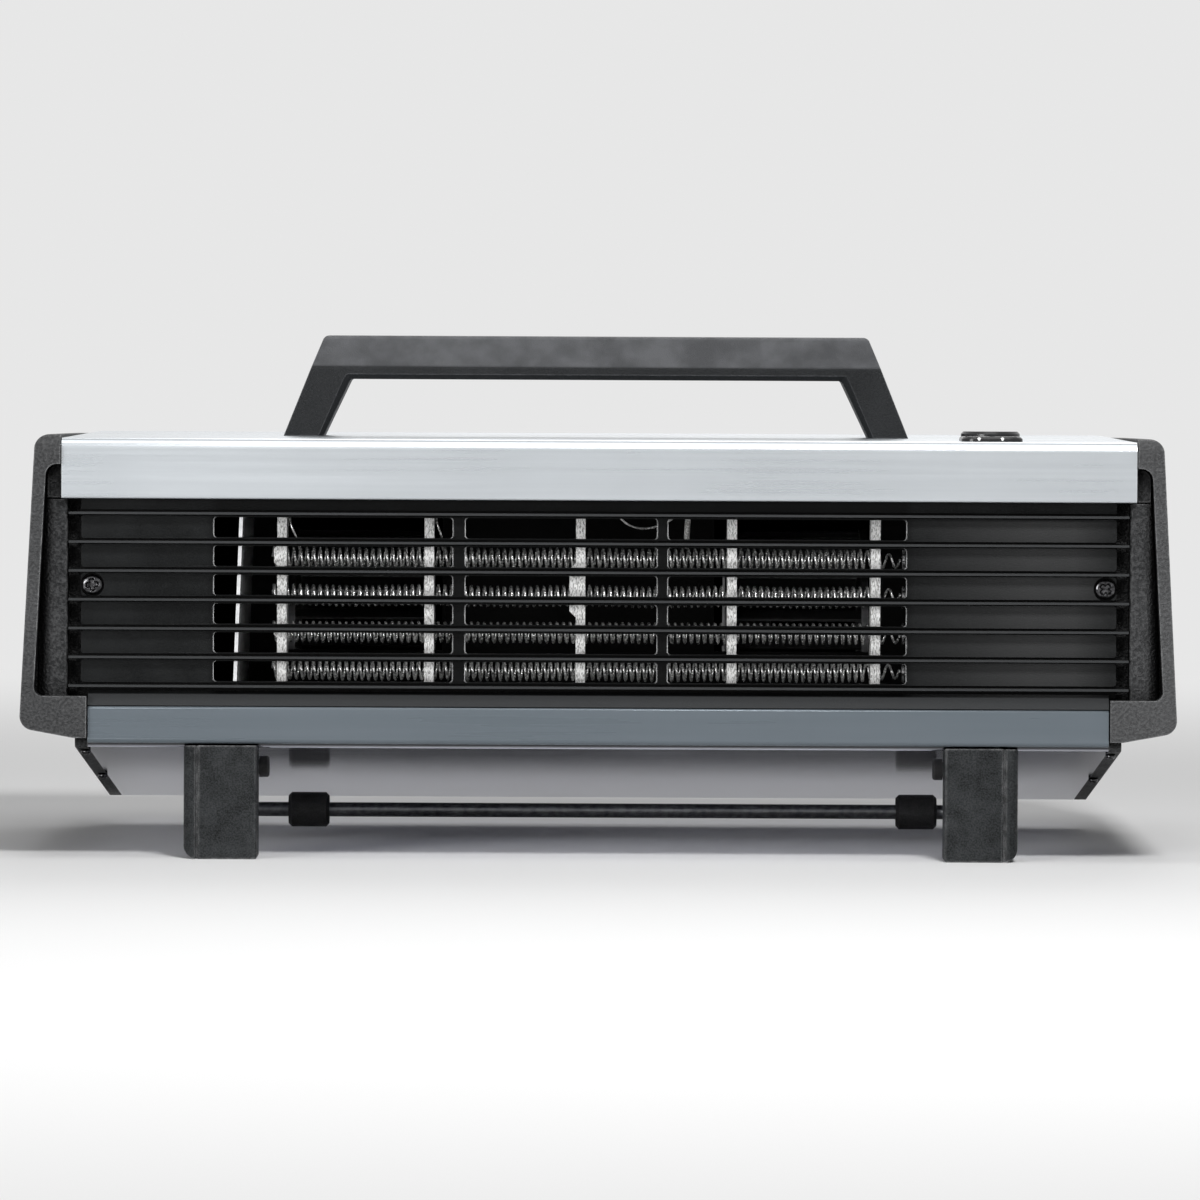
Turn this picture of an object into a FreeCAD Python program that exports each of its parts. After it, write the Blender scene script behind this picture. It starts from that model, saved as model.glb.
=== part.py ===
import FreeCAD, Part
import math
import os
from FreeCAD import Vector

# Fan heater on two front feet and two rear feet, in millimetres.
# +X is the right seen from the front, -Y the front, +Z up, and the floor is at z = 0.

# Case
CASE_WIDTH = 402.0
CASE_DEPTH = 240.0
TOP_Z = 146.0              # top of the cover
FRONT_GAP = 38.6           # floor to the pan's underside at its front edge
REAR_GAP = 10.0            # floor to the pan's underside at its rear edge
SHEET = 0.8
WALL = 2.5                 # moulded walls
FACE_SET = 2.0             # apron and trim faces behind the rims
SEAT_SET = 10.0            # grille seats behind the rims
PLAY = 0.3                 # gap between pieces that do not touch
FIT = 0.05                 # radial clearance of a pin in its hole

# End caps
CHEEK_LEAN = 5.5           # each cap leans in by this much from bottom to top
CHEEK_RISE = 1.2           # rim above the cover at the front
CHEEK_FALL = 2.0           # top edge lower at the rear
CHEEK_FOOT_Z = 42.0        # underside of the cheeks where they meet the tub
CHEEK_TILT = 3.4           # outer bottom edge above the inner one
CHEEK_OVERHANG = 19.0      # cheek outside the tub's side wall
TUB_WALL = 4.5
RIM = 4.4
CHEEK_CORNER = 5.0
REAR_CORNER = 14.0
UPPER_CORNER = 8.8         # solid corner beside the cover's end
CHANNEL_TOP_Z = 137.0
CHANNEL_FOOT_Z = 56.5
PILLAR_GAP = 0.5
PILLAR_PROUD = 4.5
PILLAR_ROUND = 6.4
PILLAR_EDGE = 1.0
CHANNEL_CORNER = 3.0
CHANNEL_ROUND = 4.0        # upper outer corner of the channel
SCREW_FLANGE = 10.0

# Top cover and lower trim
APRON_HEIGHT = 21.0
COVER_BEND = 3.5
HEM = 3.2
TRIM_Z = 53.0              # top of the trim's upright face
TRIM_FOOT_Z = 40.2
TRIM_LIP = 1.6
SKIRT = 5.0                # sloping skirt of the grille over the trim
TRIM_BEND = 1.6
PAN_BEND = 2.0
PAN_FLANGE_Z = 54.0

# Grilles
GRILLE_PLATE = 2.2         # panels
GRILLE_WEB = 0.8           # sheet behind the panels and ribs
RIB_PROUD = 4.3
RIB = 0.8
GROOVE_ABOVE = 0.8         # groove between a rib and the panel over it
GROOVE_BELOW = 0.5
RIB_PITCH = 10.0
RIB_FOOT_Z = 60.0
RIB_HEAD = 4.0             # least height left plain over the ribs
WINDOW_CORNER = 1.0
WINDOW_EDGE = 0.45         # panel over and under each window
WINDOW_LEFT_SET = 48.3     # first window inside the left tub wall
WINDOW_RIGHT_SET = 75.3    # last window inside the right tub wall
WINDOW_BARS = [(0.354, 4.5), (0.648, 3.9)]    # place along the windows and width of each bar
GRILLE_FOOT_Z = 50.0
RIB_END = 5.0              # rib ends past the tub's side walls
PANEL_END = 4.2            # ribs past the panels
END_SLOT = 1.7             # depth of the slot beside the panels
INTAKE_COUNT = 8
INTAKE_SET = 30.0          # intake slots inside the tub's walls
INTAKE_BAR = 5.0
GRILLE_SCREW_SET = 6.0     # screws inside the tub's walls
GRILLE_SCREW_Z = 95.0
SCREW_ROOM = 0.7           # round the sunk heads

# Screws
SCREW_R = 1.5
SCREW_HEAD_R = 3.5
SCREW_HEAD = 1.9
SCREW_LENGTH = 10.0
EDGE_SCREW_HEAD_R = 1.7
EDGE_SCREW_R = 1.0
EDGE_SCREW_LENGTH = 6.0
EDGE_SCREW_SETS = [12.0, 116.0]    # behind the pan's front edge

# Handle
HANDLE_X = -1.3
HANDLE_Y = -5.0
HANDLE_TOP_Z = 182.0
HANDLE_BASE_HALF = 111.7
HANDLE_TOP_HALF = 97.3
HANDLE_LEG = 14.2          # width of a leg at its base
GRIP_HALF = 87.8           # half width of the finger gap at its top
GRIP_CHAMFER = 1.8
GRIP_CORNER = 1.5
GRIP = 15.6                # height of the grip
GRIP_FACET_Z = 171.0
HANDLE_DEPTH = 32.0
GRIP_TOP_DEPTH = 15.0
GRIP_TOP_ROUND = 3.0
FACET_ROUND = 2.0
HANDLE_CORNER = 2.5
HANDLE_SCREW_PITCH = 16.0

# Feet
FEET_X = 1.0               # feet and bail to the right of the middle
FOOT_INSET = 62.6          # inner side inside the tub's wall
FOOT_WIDTH = 25.5
FOOT_BAND = 4.4            # band along the outer edge
FOOT_STEP = 0.6
FOOT_GROOVE = 0.7
FOOT_EDGE = 0.8
FOOT_ROUND = 3.0           # outer upright edge
BAND_EDGE = 0.5
FOOT_DEPTH = 20.0
FOOT_SET = 3.0             # foot behind the rims
FOOT_CORNER = 5.0
REAR_FOOT_INSET = 41.0
REAR_FOOT_SET = 18.0
REAR_FOOT_R = 10.0

# Bail stand
WIRE_R = 2.6
BAIL_ARM_SET = 11.6        # arms inside the feet, from their inner sides
BAIL_PIVOT_SET = 16.0      # pivot behind the foot's front
BAIL_PIVOT_DROP = 5.9      # pivot under the pan
BAIL_RUN = 129.0           # bar behind the pivot
BAIL_BAR_DROP = 11.0       # bar under the pan
BAIL_BEND = 8.0
SLEEVE_R = 6.3
SLEEVE_LENGTH = 14.8
SLEEVE_SETS = [13.4, 4.7]  # left and right sleeve, from the foot's inner side
SLEEVE_CHAMFER = 1.2
BAIL_CAP_R = 3.7
BAIL_CAP = 2.6
BAIL_CAP_END = 1.2
BAIL_CAP_ROUND = 0.9

# Heating element and duct
DUCT_LEFT_SET = 55.2       # duct's sides inside the tub's walls
DUCT_LEAN = 2.4            # left side leans in by this much from bottom to top
DUCT_RIGHT_SET = 70.0
DUCT_HEM = 0.4             # hem outside the left side's front edge
OUTLET_RUN = 58.0          # bulkhead in front of the shaft
DUCT_TOP_Z = 124.3
DUCT_FOOT_Z = 55.7
RAIL = 2.0
POST_PLACES = [0.0, 0.248, 0.503, 0.758, 1.0]    # shares of the way from the first post to the last
POST_LEFT_SET = 4.2        # first post from the coils' left ends
POST_RIGHT_SET = 9.5
POST = 3.3
POST_DEPTH = 16.0
POST_EARS = [(0, 105.2, 7.0, 1.1), (0, 79.0, 5.0, 1.1), (2, 93.5, 19.0, 2.2)]    # post, height, length, reach
ELEMENT_SET = 17.0         # coils behind the grille's seat
COIL_R = 3.9
COIL_BORE_R = 3.0
COIL_COUNT = 4
COIL_TOP_Z = 104.4
COIL_PITCH = 13.0
COIL_LEFT_SET = 12.1       # coil ends inside the duct
COIL_RIGHT_SET = 6.0
TERMINAL_R = 1.6

# Motor and blowers
BLOWER_GAP = 8.0           # blower housings in front of the rear grille's seat
SHAFT_Z = 72.0
SHAFT_R = 3.0
STATOR_R = 34.0
STATOR_LENGTH = 32.0
STATOR_BORE_R = 18.4
ROTOR_R = 18.0
SHIELD_LENGTH = 18.0
BEARING_R = 7.0
BEARING_LENGTH = 8.0
WINDING_LENGTH = 10.0
SCROLL_R = 50.0
SCROLL_WIDTH = 62.0
SCROLL_SPREAD = 79.0       # each blower from the motor's middle
OUTLET_HEIGHT = 54.0
WHEEL_R = 40.0
WHEEL_WIDTH = 52.0
BLADE_DEPTH = 9.0
BLADE = 0.9
BLADE_COUNT = 24
BLADE_LEAN = 35.0
INLET_R = 32.0

# Controls
SWITCH_INSET = 45.4
SWITCH_SET = 15.0
BEZEL_WIDTH = 21.3
BEZEL_LENGTH = 30.0
BEZEL_HEIGHT = 1.6
BEZEL_CORNER = 5.0
ROCKER_WIDTH = 7.8
ROCKER_LENGTH = 21.2
ROCKER_PIVOT_Z = 142.0
ROCKER_TILT = 7.0
ROCKER_MIDDLE = 3.4        # key above its pivot at the middle
ROCKER_PIN_R = 1.2
ROCKER_PIN = 0.7
ROCKER_EDGE = 0.6
SWITCH_WALL = 1.0
SWITCH_DEPTH = 15.0
KNOB_INSET = 43.1
KNOB_BEHIND = 55.0         # knob behind the switches
KNOB_R = 10.5
KNOB_HEIGHT = 2.6
SPINDLE_R = 3.0
THERMOSTAT = (30.0, 24.0, 18.0)

# Cord inlet
INLET_INSET = 42.0
INLET_Z = 33.0
BUSH_BORE_R = 4.0
BUSH_NECK_R = 6.5
BUSH_FLANGE_R = 9.0
BUSH_FLANGE = 4.0
TERMINAL_LENGTH = 30.0
TERMINAL_SET = 37.0        # terminal block in front of the rear flange

# Values worked out from the sizes above
half_depth = CASE_DEPTH / 2
front_y = -half_depth
face_y = half_depth - FACE_SET
seat_y = half_depth - SEAT_SET
tub_x = CASE_WIDTH / 2 - CHEEK_OVERHANG
inner_x = tub_x - TUB_WALL
cheek_top_z = TOP_Z + CHEEK_RISE
under_slope = (FRONT_GAP - REAR_GAP) / (2 * seat_y)
sheet_rise = SHEET * math.sqrt(1 + under_slope ** 2)
cover_half = CASE_WIDTH / 2 - CHEEK_LEAN - UPPER_CORNER - PLAY
apron_z = TOP_Z - APRON_HEIGHT
rib_count = int((apron_z - RIB_HEAD - RIB_FOOT_Z) / RIB_PITCH) + 1
panel_height = RIB_PITCH - RIB - GROOVE_ABOVE - GROOVE_BELOW
rib_half = tub_x + RIB_END - CHEEK_LEAN / 2 - PLAY
panel_half = rib_half - PANEL_END
grille_screw_x = tub_x - GRILLE_SCREW_SET
foot_front_y = front_y + FOOT_SET
foot_inner_x = tub_x - FOOT_INSET
bail_arm_x = foot_inner_x + BAIL_ARM_SET
shaft_y = seat_y - BLOWER_GAP - SCROLL_R
duct_front_y = -seat_y + PLAY
duct_rear_y = shaft_y - OUTLET_RUN
duct_left_x = -tub_x + DUCT_LEFT_SET
duct_right_x = tub_x - DUCT_RIGHT_SET
element_y = -seat_y + ELEMENT_SET
coil_rows_z = [COIL_TOP_Z - i * COIL_PITCH for i in range(COIL_COUNT)]
coil_left_x = duct_left_x + COIL_LEFT_SET
coil_right_x = duct_right_x - COIL_RIGHT_SET
motor_x = (duct_left_x + duct_right_x) / 2
scroll_x = [motor_x - SCROLL_SPREAD, motor_x + SCROLL_SPREAD]
switch_x = tub_x - SWITCH_INSET
switch_y = -seat_y + SWITCH_SET
knob_x = tub_x - KNOB_INSET
knob_y = switch_y + KNOB_BEHIND
inlet_x = tub_x - INLET_INSET
rail_top_z = DUCT_TOP_Z - SHEET
rail_foot_z = DUCT_FOOT_Z + SHEET
motor_left_x = motor_x - STATOR_LENGTH / 2
motor_right_x = motor_x + STATOR_LENGTH / 2


def under_z(y):
    """Height of the pan's sloping underside."""
    return FRONT_GAP - under_slope * (y + seat_y)


def floor_z(y):
    """Height of the pan's inner face."""
    return under_z(y) + sheet_rise


def cheek_x(z):
    """Outer face of the leaning cheek."""
    share = (z - CHEEK_FOOT_Z) / (cheek_top_z - CHEEK_FOOT_Z)
    return CASE_WIDTH / 2 - CHEEK_LEAN * share


def rounded_edges(points, place, closed=True):
    """Edges through (u, v, radius) points, with a tangent arc at each rounded corner."""
    flat = [Vector(u, v, 0) for u, v, _ in points]
    count = len(flat)
    corners = []
    for i, (_, _, radius) in enumerate(points):
        here = flat[i]
        if radius == 0 or (not closed and i in (0, count - 1)):
            corners.append((here, None, here))
            continue
        back = (flat[i - 1] - here).normalize()
        ahead = (flat[(i + 1) % count] - here).normalize()
        half = back.getAngle(ahead) / 2
        middle = (back + ahead).normalize()
        reach = radius / math.tan(half)
        crown = here + middle * (radius / math.sin(half) - radius)
        corners.append((here + back * reach, crown, here + ahead * reach))
    corners = [[p and place(p.x, p.y) for p in corner] for corner in corners]
    edges = []
    for i, (start, crown, end) in enumerate(corners):
        if crown:
            edges.append(Part.Arc(start, crown, end).toShape())
        if i == count - 1 and not closed:
            break
        following = corners[(i + 1) % count][0]
        if end.distanceToPoint(following) > 1e-6:
            edges.append(Part.LineSegment(end, following).toShape())
    return edges


def prism_x(points, x0, x1):
    """Outline of (y, z, radius) points, carried from x0 to x1."""
    wire = Part.Wire(rounded_edges(points, lambda u, v: Vector(x0, u, v)))
    return Part.Face(wire).extrude(Vector(x1 - x0, 0, 0))


def prism_y(points, y0, y1):
    """Outline of (x, z, radius) points, carried from y0 to y1."""
    wire = Part.Wire(rounded_edges(points, lambda u, v: Vector(u, y0, v)))
    return Part.Face(wire).extrude(Vector(0, y1 - y0, 0))


def prism_z(points, z0, z1):
    """Outline of (x, y, radius) points, carried from z0 to z1."""
    wire = Part.Wire(rounded_edges(points, lambda u, v: Vector(u, v, z0)))
    return Part.Face(wire).extrude(Vector(0, 0, z1 - z0))


def block(x0, x1, y0, y1, z0, z1):
    """Box between two corners."""
    return Part.makeBox(x1 - x0, y1 - y0, z1 - z0, Vector(x0, y0, z0))


def rod_x(radius, x0, x1, y, z):
    """Cylinder along X."""
    return Part.makeCylinder(radius, x1 - x0, Vector(x0, y, z), Vector(1, 0, 0))


def rod_y(radius, x, y0, y1, z):
    """Cylinder along Y."""
    return Part.makeCylinder(radius, y1 - y0, Vector(x, y0, z), Vector(0, 1, 0))


def rod_z(radius, x, y, z0, z1):
    """Cylinder along Z."""
    return Part.makeCylinder(radius, z1 - z0, Vector(x, y, z0), Vector(0, 0, 1))


def oblong(width, height, corner, u=0.0, v=0.0):
    """Rounded rectangle about (u, v) as outline points."""
    a, b = width / 2, height / 2
    return [(u - a, v - b, corner), (u + a, v - b, corner), (u + a, v + b, corner), (u - a, v + b, corner)]


def bent_sheet(path, x0, x1):
    """Sheet bent along a path of (y, z, outside radius) points, its thickness on the path's left."""
    flat = [Vector(u, v, 0) for u, v, _ in path]
    runs = [(b - a).normalize() for a, b in zip(flat, flat[1:])]
    lefts = [Vector(-run.y, run.x, 0) for run in runs]
    inside = []
    for i, (_, _, radius) in enumerate(path):
        before = lefts[max(i - 1, 0)]
        after = lefts[min(i, len(lefts) - 1)]
        shift = (before + after) * (SHEET / (1 + before.dot(after)))
        point = flat[i] + shift
        inside.append((point.x, point.y, max(radius - SHEET, 0)))
    return prism_x(list(path) + inside[::-1], x0, x1)


def mirrored(shape, middle_x=0):
    """The same shape on the other side of the upright plane at middle_x."""
    return shape.mirror(Vector(middle_x, 0, 0), Vector(1, 0, 0))


def screw(head_at, towards, head_r=SCREW_HEAD_R, shank_r=SCREW_R, length=SCREW_LENGTH):
    """Pan-head screw: its head's seat is at head_at and its shank runs towards the given side."""
    head = Part.makeCone(head_r, head_r * 0.8, SCREW_HEAD, head_at, -towards)
    return head.fuse(Part.makeCylinder(shank_r, length, head_at, towards)).removeSplitter()


def screw_hole(head_at, towards, shank_r=SCREW_R, length=SCREW_LENGTH):
    """Hole for such a screw."""
    start = head_at - towards * length
    return Part.makeCylinder(shank_r + FIT, 2 * length + PLAY, start, towards)


bail_pivot_y = foot_front_y + BAIL_PIVOT_SET
bail_pivot_z = under_z(bail_pivot_y) - BAIL_PIVOT_DROP
bail_bar_y = bail_pivot_y + BAIL_RUN
bail_bar_z = under_z(bail_bar_y) - BAIL_BAR_DROP
UP = Vector(0, 0, 1)
BACK = Vector(0, 1, 0)
FORE = Vector(0, -1, 0)
INTO_PAN = Vector(0, under_slope, 1).normalize()

# Where each screw's head seats, and the way its shank points
sides = (-1, 1)
grille_screw_at = [Vector(s * grille_screw_x, -seat_y - GRILLE_WEB, GRILLE_SCREW_Z) for s in sides]
intake_screw_at = [Vector(s * grille_screw_x, seat_y + GRILLE_WEB, GRILLE_SCREW_Z) for s in sides]
cover_screw_at = [Vector(s * (inner_x + cover_half) / 2, face_y, TOP_Z - APRON_HEIGHT / 2) for s in sides]
edge_screw_at = [Vector(s * (inner_x + EDGE_SCREW_R + FIT + PLAY), -seat_y + back, under_z(-seat_y + back))
                 for s in sides for back in EDGE_SCREW_SETS]
handle_leg_x = HANDLE_BASE_HALF - HANDLE_LEG / 2
handle_screw_at = [Vector(HANDLE_X + s * handle_leg_x, HANDLE_Y + t * HANDLE_SCREW_PITCH / 2, TOP_Z - SHEET)
                   for s in sides for t in sides]
foot_wall_z = bail_pivot_z + WIRE_R + PLAY * 2
foot_screw_x = foot_inner_x + FOOT_WIDTH - WALL - SCREW_HEAD_R - PLAY
foot_screw_at = [Vector(FEET_X + s * foot_screw_x, foot_front_y + FOOT_DEPTH / 2, foot_wall_z) for s in sides]
rear_screw_z = REAR_GAP / 2
rear_screw_at = [Vector(s * (tub_x - REAR_FOOT_INSET), seat_y - REAR_FOOT_SET, rear_screw_z) for s in sides]


def cut_holes(shape, seats, towards, **sizes):
    """The shape with a screw hole at each seat."""
    for seat in seats:
        shape = shape.cut(screw_hole(seat, towards, **sizes))
    return shape


def below_pan(shape):
    """The shape without what would rise past the pan's underside."""
    reach = CASE_DEPTH
    above = prism_x([(-reach, under_z(-reach), 0), (reach, under_z(reach), 0),
                     (reach, under_z(-reach) + reach, 0), (-reach, under_z(-reach) + reach, 0)],
                    -CASE_WIDTH, CASE_WIDTH)
    return shape.cut(above)


# Top cover: one sheet folded down at the front and rear, with a hem under each apron
def top_cover():
    hem_y = face_y - HEM
    path = [(hem_y, apron_z, 0), (face_y, apron_z, SHEET), (face_y, TOP_Z, COVER_BEND),
            (-face_y, TOP_Z, COVER_BEND), (-face_y, apron_z, SHEET), (-hem_y, apron_z, 0)]
    cover = bent_sheet(path, -cover_half, cover_half)
    cup = oblong(switch_cup_width + 2 * PLAY, switch_cup_length + 2 * PLAY, 0, switch_x, switch_y)
    cover = cover.cut(prism_z(cup, TOP_Z - WALL, TOP_Z + WALL))
    cover = cover.cut(rod_z(SPINDLE_R + PLAY, knob_x, knob_y, TOP_Z - WALL, TOP_Z + WALL))
    cover = cut_holes(cover, handle_screw_at, UP)
    return cut_holes(cover, cover_screw_at, FORE)


# Lower trim: a folded strip with a lip on top and a return under it
def lower_trim():
    path = [(-face_y + TRIM_LIP, TRIM_Z, 0), (-face_y, TRIM_Z, SHEET), (-face_y, TRIM_FOOT_Z, TRIM_BEND),
            (-seat_y, TRIM_FOOT_Z, 0)]
    return bent_sheet(path, -inner_x + PLAY, inner_x - PLAY)


# Bottom pan: one sheet, its floor sloping down to the rear between two upright flanges
def bottom_pan():
    path = [(-seat_y, PAN_FLANGE_Z, 0), (-seat_y, FRONT_GAP, PAN_BEND),
            (seat_y, REAR_GAP, PAN_BEND), (seat_y, PAN_FLANGE_Z, 0)]
    pan = bent_sheet(path, -inner_x, inner_x)
    pan = pan.cut(rod_y(BUSH_NECK_R + FIT, inlet_x, seat_y - WALL, seat_y + WALL, INLET_Z))
    pan = cut_holes(pan, foot_screw_at, UP)
    return cut_holes(pan, rear_screw_at, UP, length=3 * SCREW_LENGTH)


# Right end cap: a hollow leaning cheek over the tub's flat side wall
def end_cap():
    foot_out_z = CHEEK_FOOT_Z + CHEEK_TILT
    front_view = [(inner_x, cheek_top_z, 0), (inner_x, CHEEK_FOOT_Z, 0),
                  (tub_x, CHEEK_FOOT_Z, 0), (cheek_x(foot_out_z), foot_out_z, CHEEK_CORNER),
                  (cheek_x(cheek_top_z), cheek_top_z, CHEEK_CORNER)]
    side_view = [(front_y, CHEEK_FOOT_Z, 0), (half_depth, CHEEK_FOOT_Z, REAR_CORNER / 2),
                 (half_depth, cheek_top_z - CHEEK_FALL, REAR_CORNER), (front_y, cheek_top_z, CHEEK_CORNER)]
    cheek = prism_y(front_view, front_y, half_depth)
    cheek = cheek.common(prism_x(side_view, inner_x, CASE_WIDTH))
    hollow = [(inner_x - WALL, TOP_Z - SHEET - WALL, 0), (inner_x - WALL, CHEEK_FOOT_Z + WALL, 0),
              (tub_x, CHEEK_FOOT_Z + WALL, 0), (cheek_x(foot_out_z) - WALL, foot_out_z + WALL, CHEEK_CORNER),
              (cheek_x(TOP_Z) - WALL, TOP_Z - SHEET - WALL, 0)]
    cheek = cheek.cut(prism_y(hollow, -seat_y + WALL, seat_y - WALL))

    # Channels in the front and rear faces, with the cover's rebate above them
    cover_end_x = cover_half + PLAY
    hem_top_z = apron_z + SHEET + PLAY
    channel = [(inner_x - WALL, CHANNEL_FOOT_Z, 0),
               (cheek_x(CHANNEL_FOOT_Z) - RIM, CHANNEL_FOOT_Z, CHANNEL_CORNER),
               (cheek_x(CHANNEL_TOP_Z) - RIM, CHANNEL_TOP_Z, CHANNEL_ROUND), (cover_end_x, CHANNEL_TOP_Z, 0),
               (cover_end_x, hem_top_z, 0), (inner_x - WALL, hem_top_z, 0)]
    for y in (front_y, seat_y):
        cheek = cheek.cut(prism_y(channel, y, y + SEAT_SET))
    inner_face = face_y - SHEET
    rebate = [(inner_x - WALL, hem_top_z, 0), (cover_end_x, hem_top_z, 0), (cover_end_x, cheek_top_z, 0),
              (inner_x - WALL, cheek_top_z, 0)]
    cheek = cheek.cut(prism_y(rebate, front_y, -inner_face)).cut(prism_y(rebate, inner_face, half_depth))
    cheek = cheek.cut(block(inner_x - WALL, cover_end_x, front_y, half_depth, TOP_Z - SHEET, cheek_top_z))
    bend_room = COVER_BEND - SHEET
    for y in (-inner_face, inner_face - bend_room):
        cheek = cheek.cut(block(inner_x - WALL, cover_end_x, y, y + bend_room,
                                TOP_Z - SHEET - bend_room, TOP_Z))

    # Rounded pillar beside the grille and the small block above it
    pillar_top_z = apron_z - PLAY
    pillar_in_x = rib_half + PLAY
    pillar_foot_x = cheek_x(CHANNEL_FOOT_Z) - RIM - PILLAR_GAP
    view = [(pillar_in_x, CHANNEL_FOOT_Z, 0), (pillar_foot_x, CHANNEL_FOOT_Z, 0),
            (cheek_x(pillar_top_z) - RIM - PILLAR_GAP, pillar_top_z, PILLAR_EDGE),
            (pillar_in_x, pillar_top_z, 0)]
    plan = [(pillar_in_x, -seat_y + WALL, 0), (pillar_in_x, -seat_y - PILLAR_PROUD, PILLAR_EDGE),
            (pillar_foot_x, -seat_y - PILLAR_PROUD, PILLAR_ROUND), (pillar_foot_x, -seat_y + WALL, 0)]
    pillar = prism_y(view, -seat_y - PILLAR_PROUD, -seat_y + WALL)
    pillar = pillar.common(prism_z(plan, CHANNEL_FOOT_Z, pillar_top_z))
    knuckle_out_x = cheek_x(CHANNEL_TOP_Z) - RIM - PLAY
    knuckle = [(cover_end_x + PLAY, apron_z + PLAY, 0), (knuckle_out_x, apron_z + PLAY, 0),
               (knuckle_out_x, CHANNEL_TOP_Z - PLAY, CHANNEL_ROUND),
               (cover_end_x + PLAY, CHANNEL_TOP_Z - PLAY, 0)]
    knuckle = prism_y(knuckle, -seat_y - PILLAR_PROUD, -seat_y + WALL)
    cheek = cheek.fuse([pillar, knuckle])
    cheek = cheek.cut(block(panel_half + PLAY, pillar_in_x, -seat_y, -seat_y + END_SLOT,
                            CHANNEL_FOOT_Z, pillar_top_z))

    # Flanges behind the grilles, and the tub's side wall under the cheek
    pieces = []
    for y, seat in ((-seat_y, grille_screw_at[1]), (seat_y - WALL, intake_screw_at[1])):
        pieces.append(block(inner_x - SCREW_FLANGE, inner_x + WALL, y, y + WALL,
                            PAN_FLANGE_Z + PLAY, hem_top_z))
        boss_y = min(y, seat_y - SCREW_LENGTH) if y > 0 else y
        pieces.append(rod_y(SCREW_R + WALL, seat.x, boss_y, boss_y + SCREW_LENGTH, seat.z))
    wall = [(-seat_y, CHEEK_FOOT_Z + WALL, 0), (-seat_y, FRONT_GAP, PAN_BEND), (seat_y, REAR_GAP, PAN_BEND),
            (seat_y, CHEEK_FOOT_Z + WALL, 0)]
    pieces.append(prism_x(wall, inner_x, tub_x))
    cap = cheek.fuse(pieces).removeSplitter()
    cap = cut_holes(cap, grille_screw_at[1:], BACK)
    cap = cut_holes(cap, intake_screw_at[1:], FORE)
    cap = cut_holes(cap, cover_screw_at[1:], FORE)
    return cut_holes(cap, edge_screw_at[2:], INTO_PAN, shank_r=EDGE_SCREW_R, length=EDGE_SCREW_LENGTH)


def grille_blank(windows, corner):
    """Grille at the front: long ribs, and between each two a panel that stands clear of both by a groove."""
    top_z, end_z, neck = apron_z + SHEET, CHANNEL_FOOT_Z + PLAY, inner_x - PLAY
    web_y, panel_y = -seat_y - GRILLE_WEB, -seat_y - GRILLE_PLATE
    outline = [(-neck, GRILLE_FOOT_Z, 0), (neck, GRILLE_FOOT_Z, 0), (neck, end_z, 0), (panel_half, end_z, 0),
               (panel_half, top_z, 0), (-panel_half, top_z, 0), (-panel_half, end_z, 0), (-neck, end_z, 0)]
    plate = prism_y(outline, web_y, -seat_y)
    rib_z = [RIB_FOOT_Z + i * RIB_PITCH for i in range(rib_count)]
    ribs = [block(-rib_half, rib_half, panel_y - RIB_PROUD, web_y, z - RIB / 2, z + RIB / 2) for z in rib_z]
    panels, holes = [], []
    for z in rib_z[:-1]:
        middle_z = z + RIB / 2 + GROOVE_ABOVE + panel_height / 2
        panel = oblong(2 * panel_half, panel_height, WINDOW_CORNER, 0, middle_z)
        panels.append(prism_y(panel, panel_y, web_y))
        for left, right in windows:
            row = oblong(right - left, panel_height - 2 * WINDOW_EDGE, corner, (left + right) / 2, middle_z)
            holes.append(prism_y(row, panel_y - PLAY, -seat_y + PLAY))
    head_z = rib_z[-1] + RIB / 2 + GROOVE_ABOVE
    panels.append(block(-panel_half, panel_half, panel_y, web_y, head_z, top_z))
    for seat in grille_screw_at:
        holes.append(rod_y(SCREW_HEAD_R + SCREW_ROOM, seat.x, panel_y - PLAY, web_y, seat.z))
    return plate.fuse(ribs + panels).cut(holes).removeSplitter()


# Front grille: three columns of windows, and a sloping skirt that covers the top of the trim
def front_grille():
    left, right = -tub_x + WINDOW_LEFT_SET, tub_x - WINDOW_RIGHT_SET
    edges = [left]
    for share, width in WINDOW_BARS:
        middle = left + share * (right - left)
        edges += [middle - width / 2, middle + width / 2]
    edges.append(right)
    grille = grille_blank(list(zip(edges[::2], edges[1::2])), WINDOW_CORNER)
    foot_y, foot_z = -face_y + PLAY, TRIM_Z + PLAY
    skirt = [(-seat_y, foot_z, 0), (foot_y, foot_z, 0), (foot_y, foot_z + PLAY, 0),
             (foot_y + SKIRT, foot_z + SKIRT, 0), (-seat_y, foot_z + SKIRT, 0)]
    grille = grille.fuse(prism_x(skirt, -inner_x + PLAY, inner_x - PLAY)).removeSplitter()
    return cut_holes(grille, grille_screw_at, BACK)


# Rear grille: the same ribs with a regular row of intake slots
def rear_grille():
    pitch = 2 * (tub_x - INTAKE_SET) / INTAKE_COUNT
    first = -(INTAKE_COUNT - 1) * pitch / 2
    centres = [first + i * pitch for i in range(INTAKE_COUNT)]
    half = (pitch - INTAKE_BAR) / 2
    grille = grille_blank([(x - half, x + half) for x in centres], 0)
    grille = grille.mirror(Vector(0, 0, 0), Vector(0, 1, 0))
    return cut_holes(grille, intake_screw_at, FORE)


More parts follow.
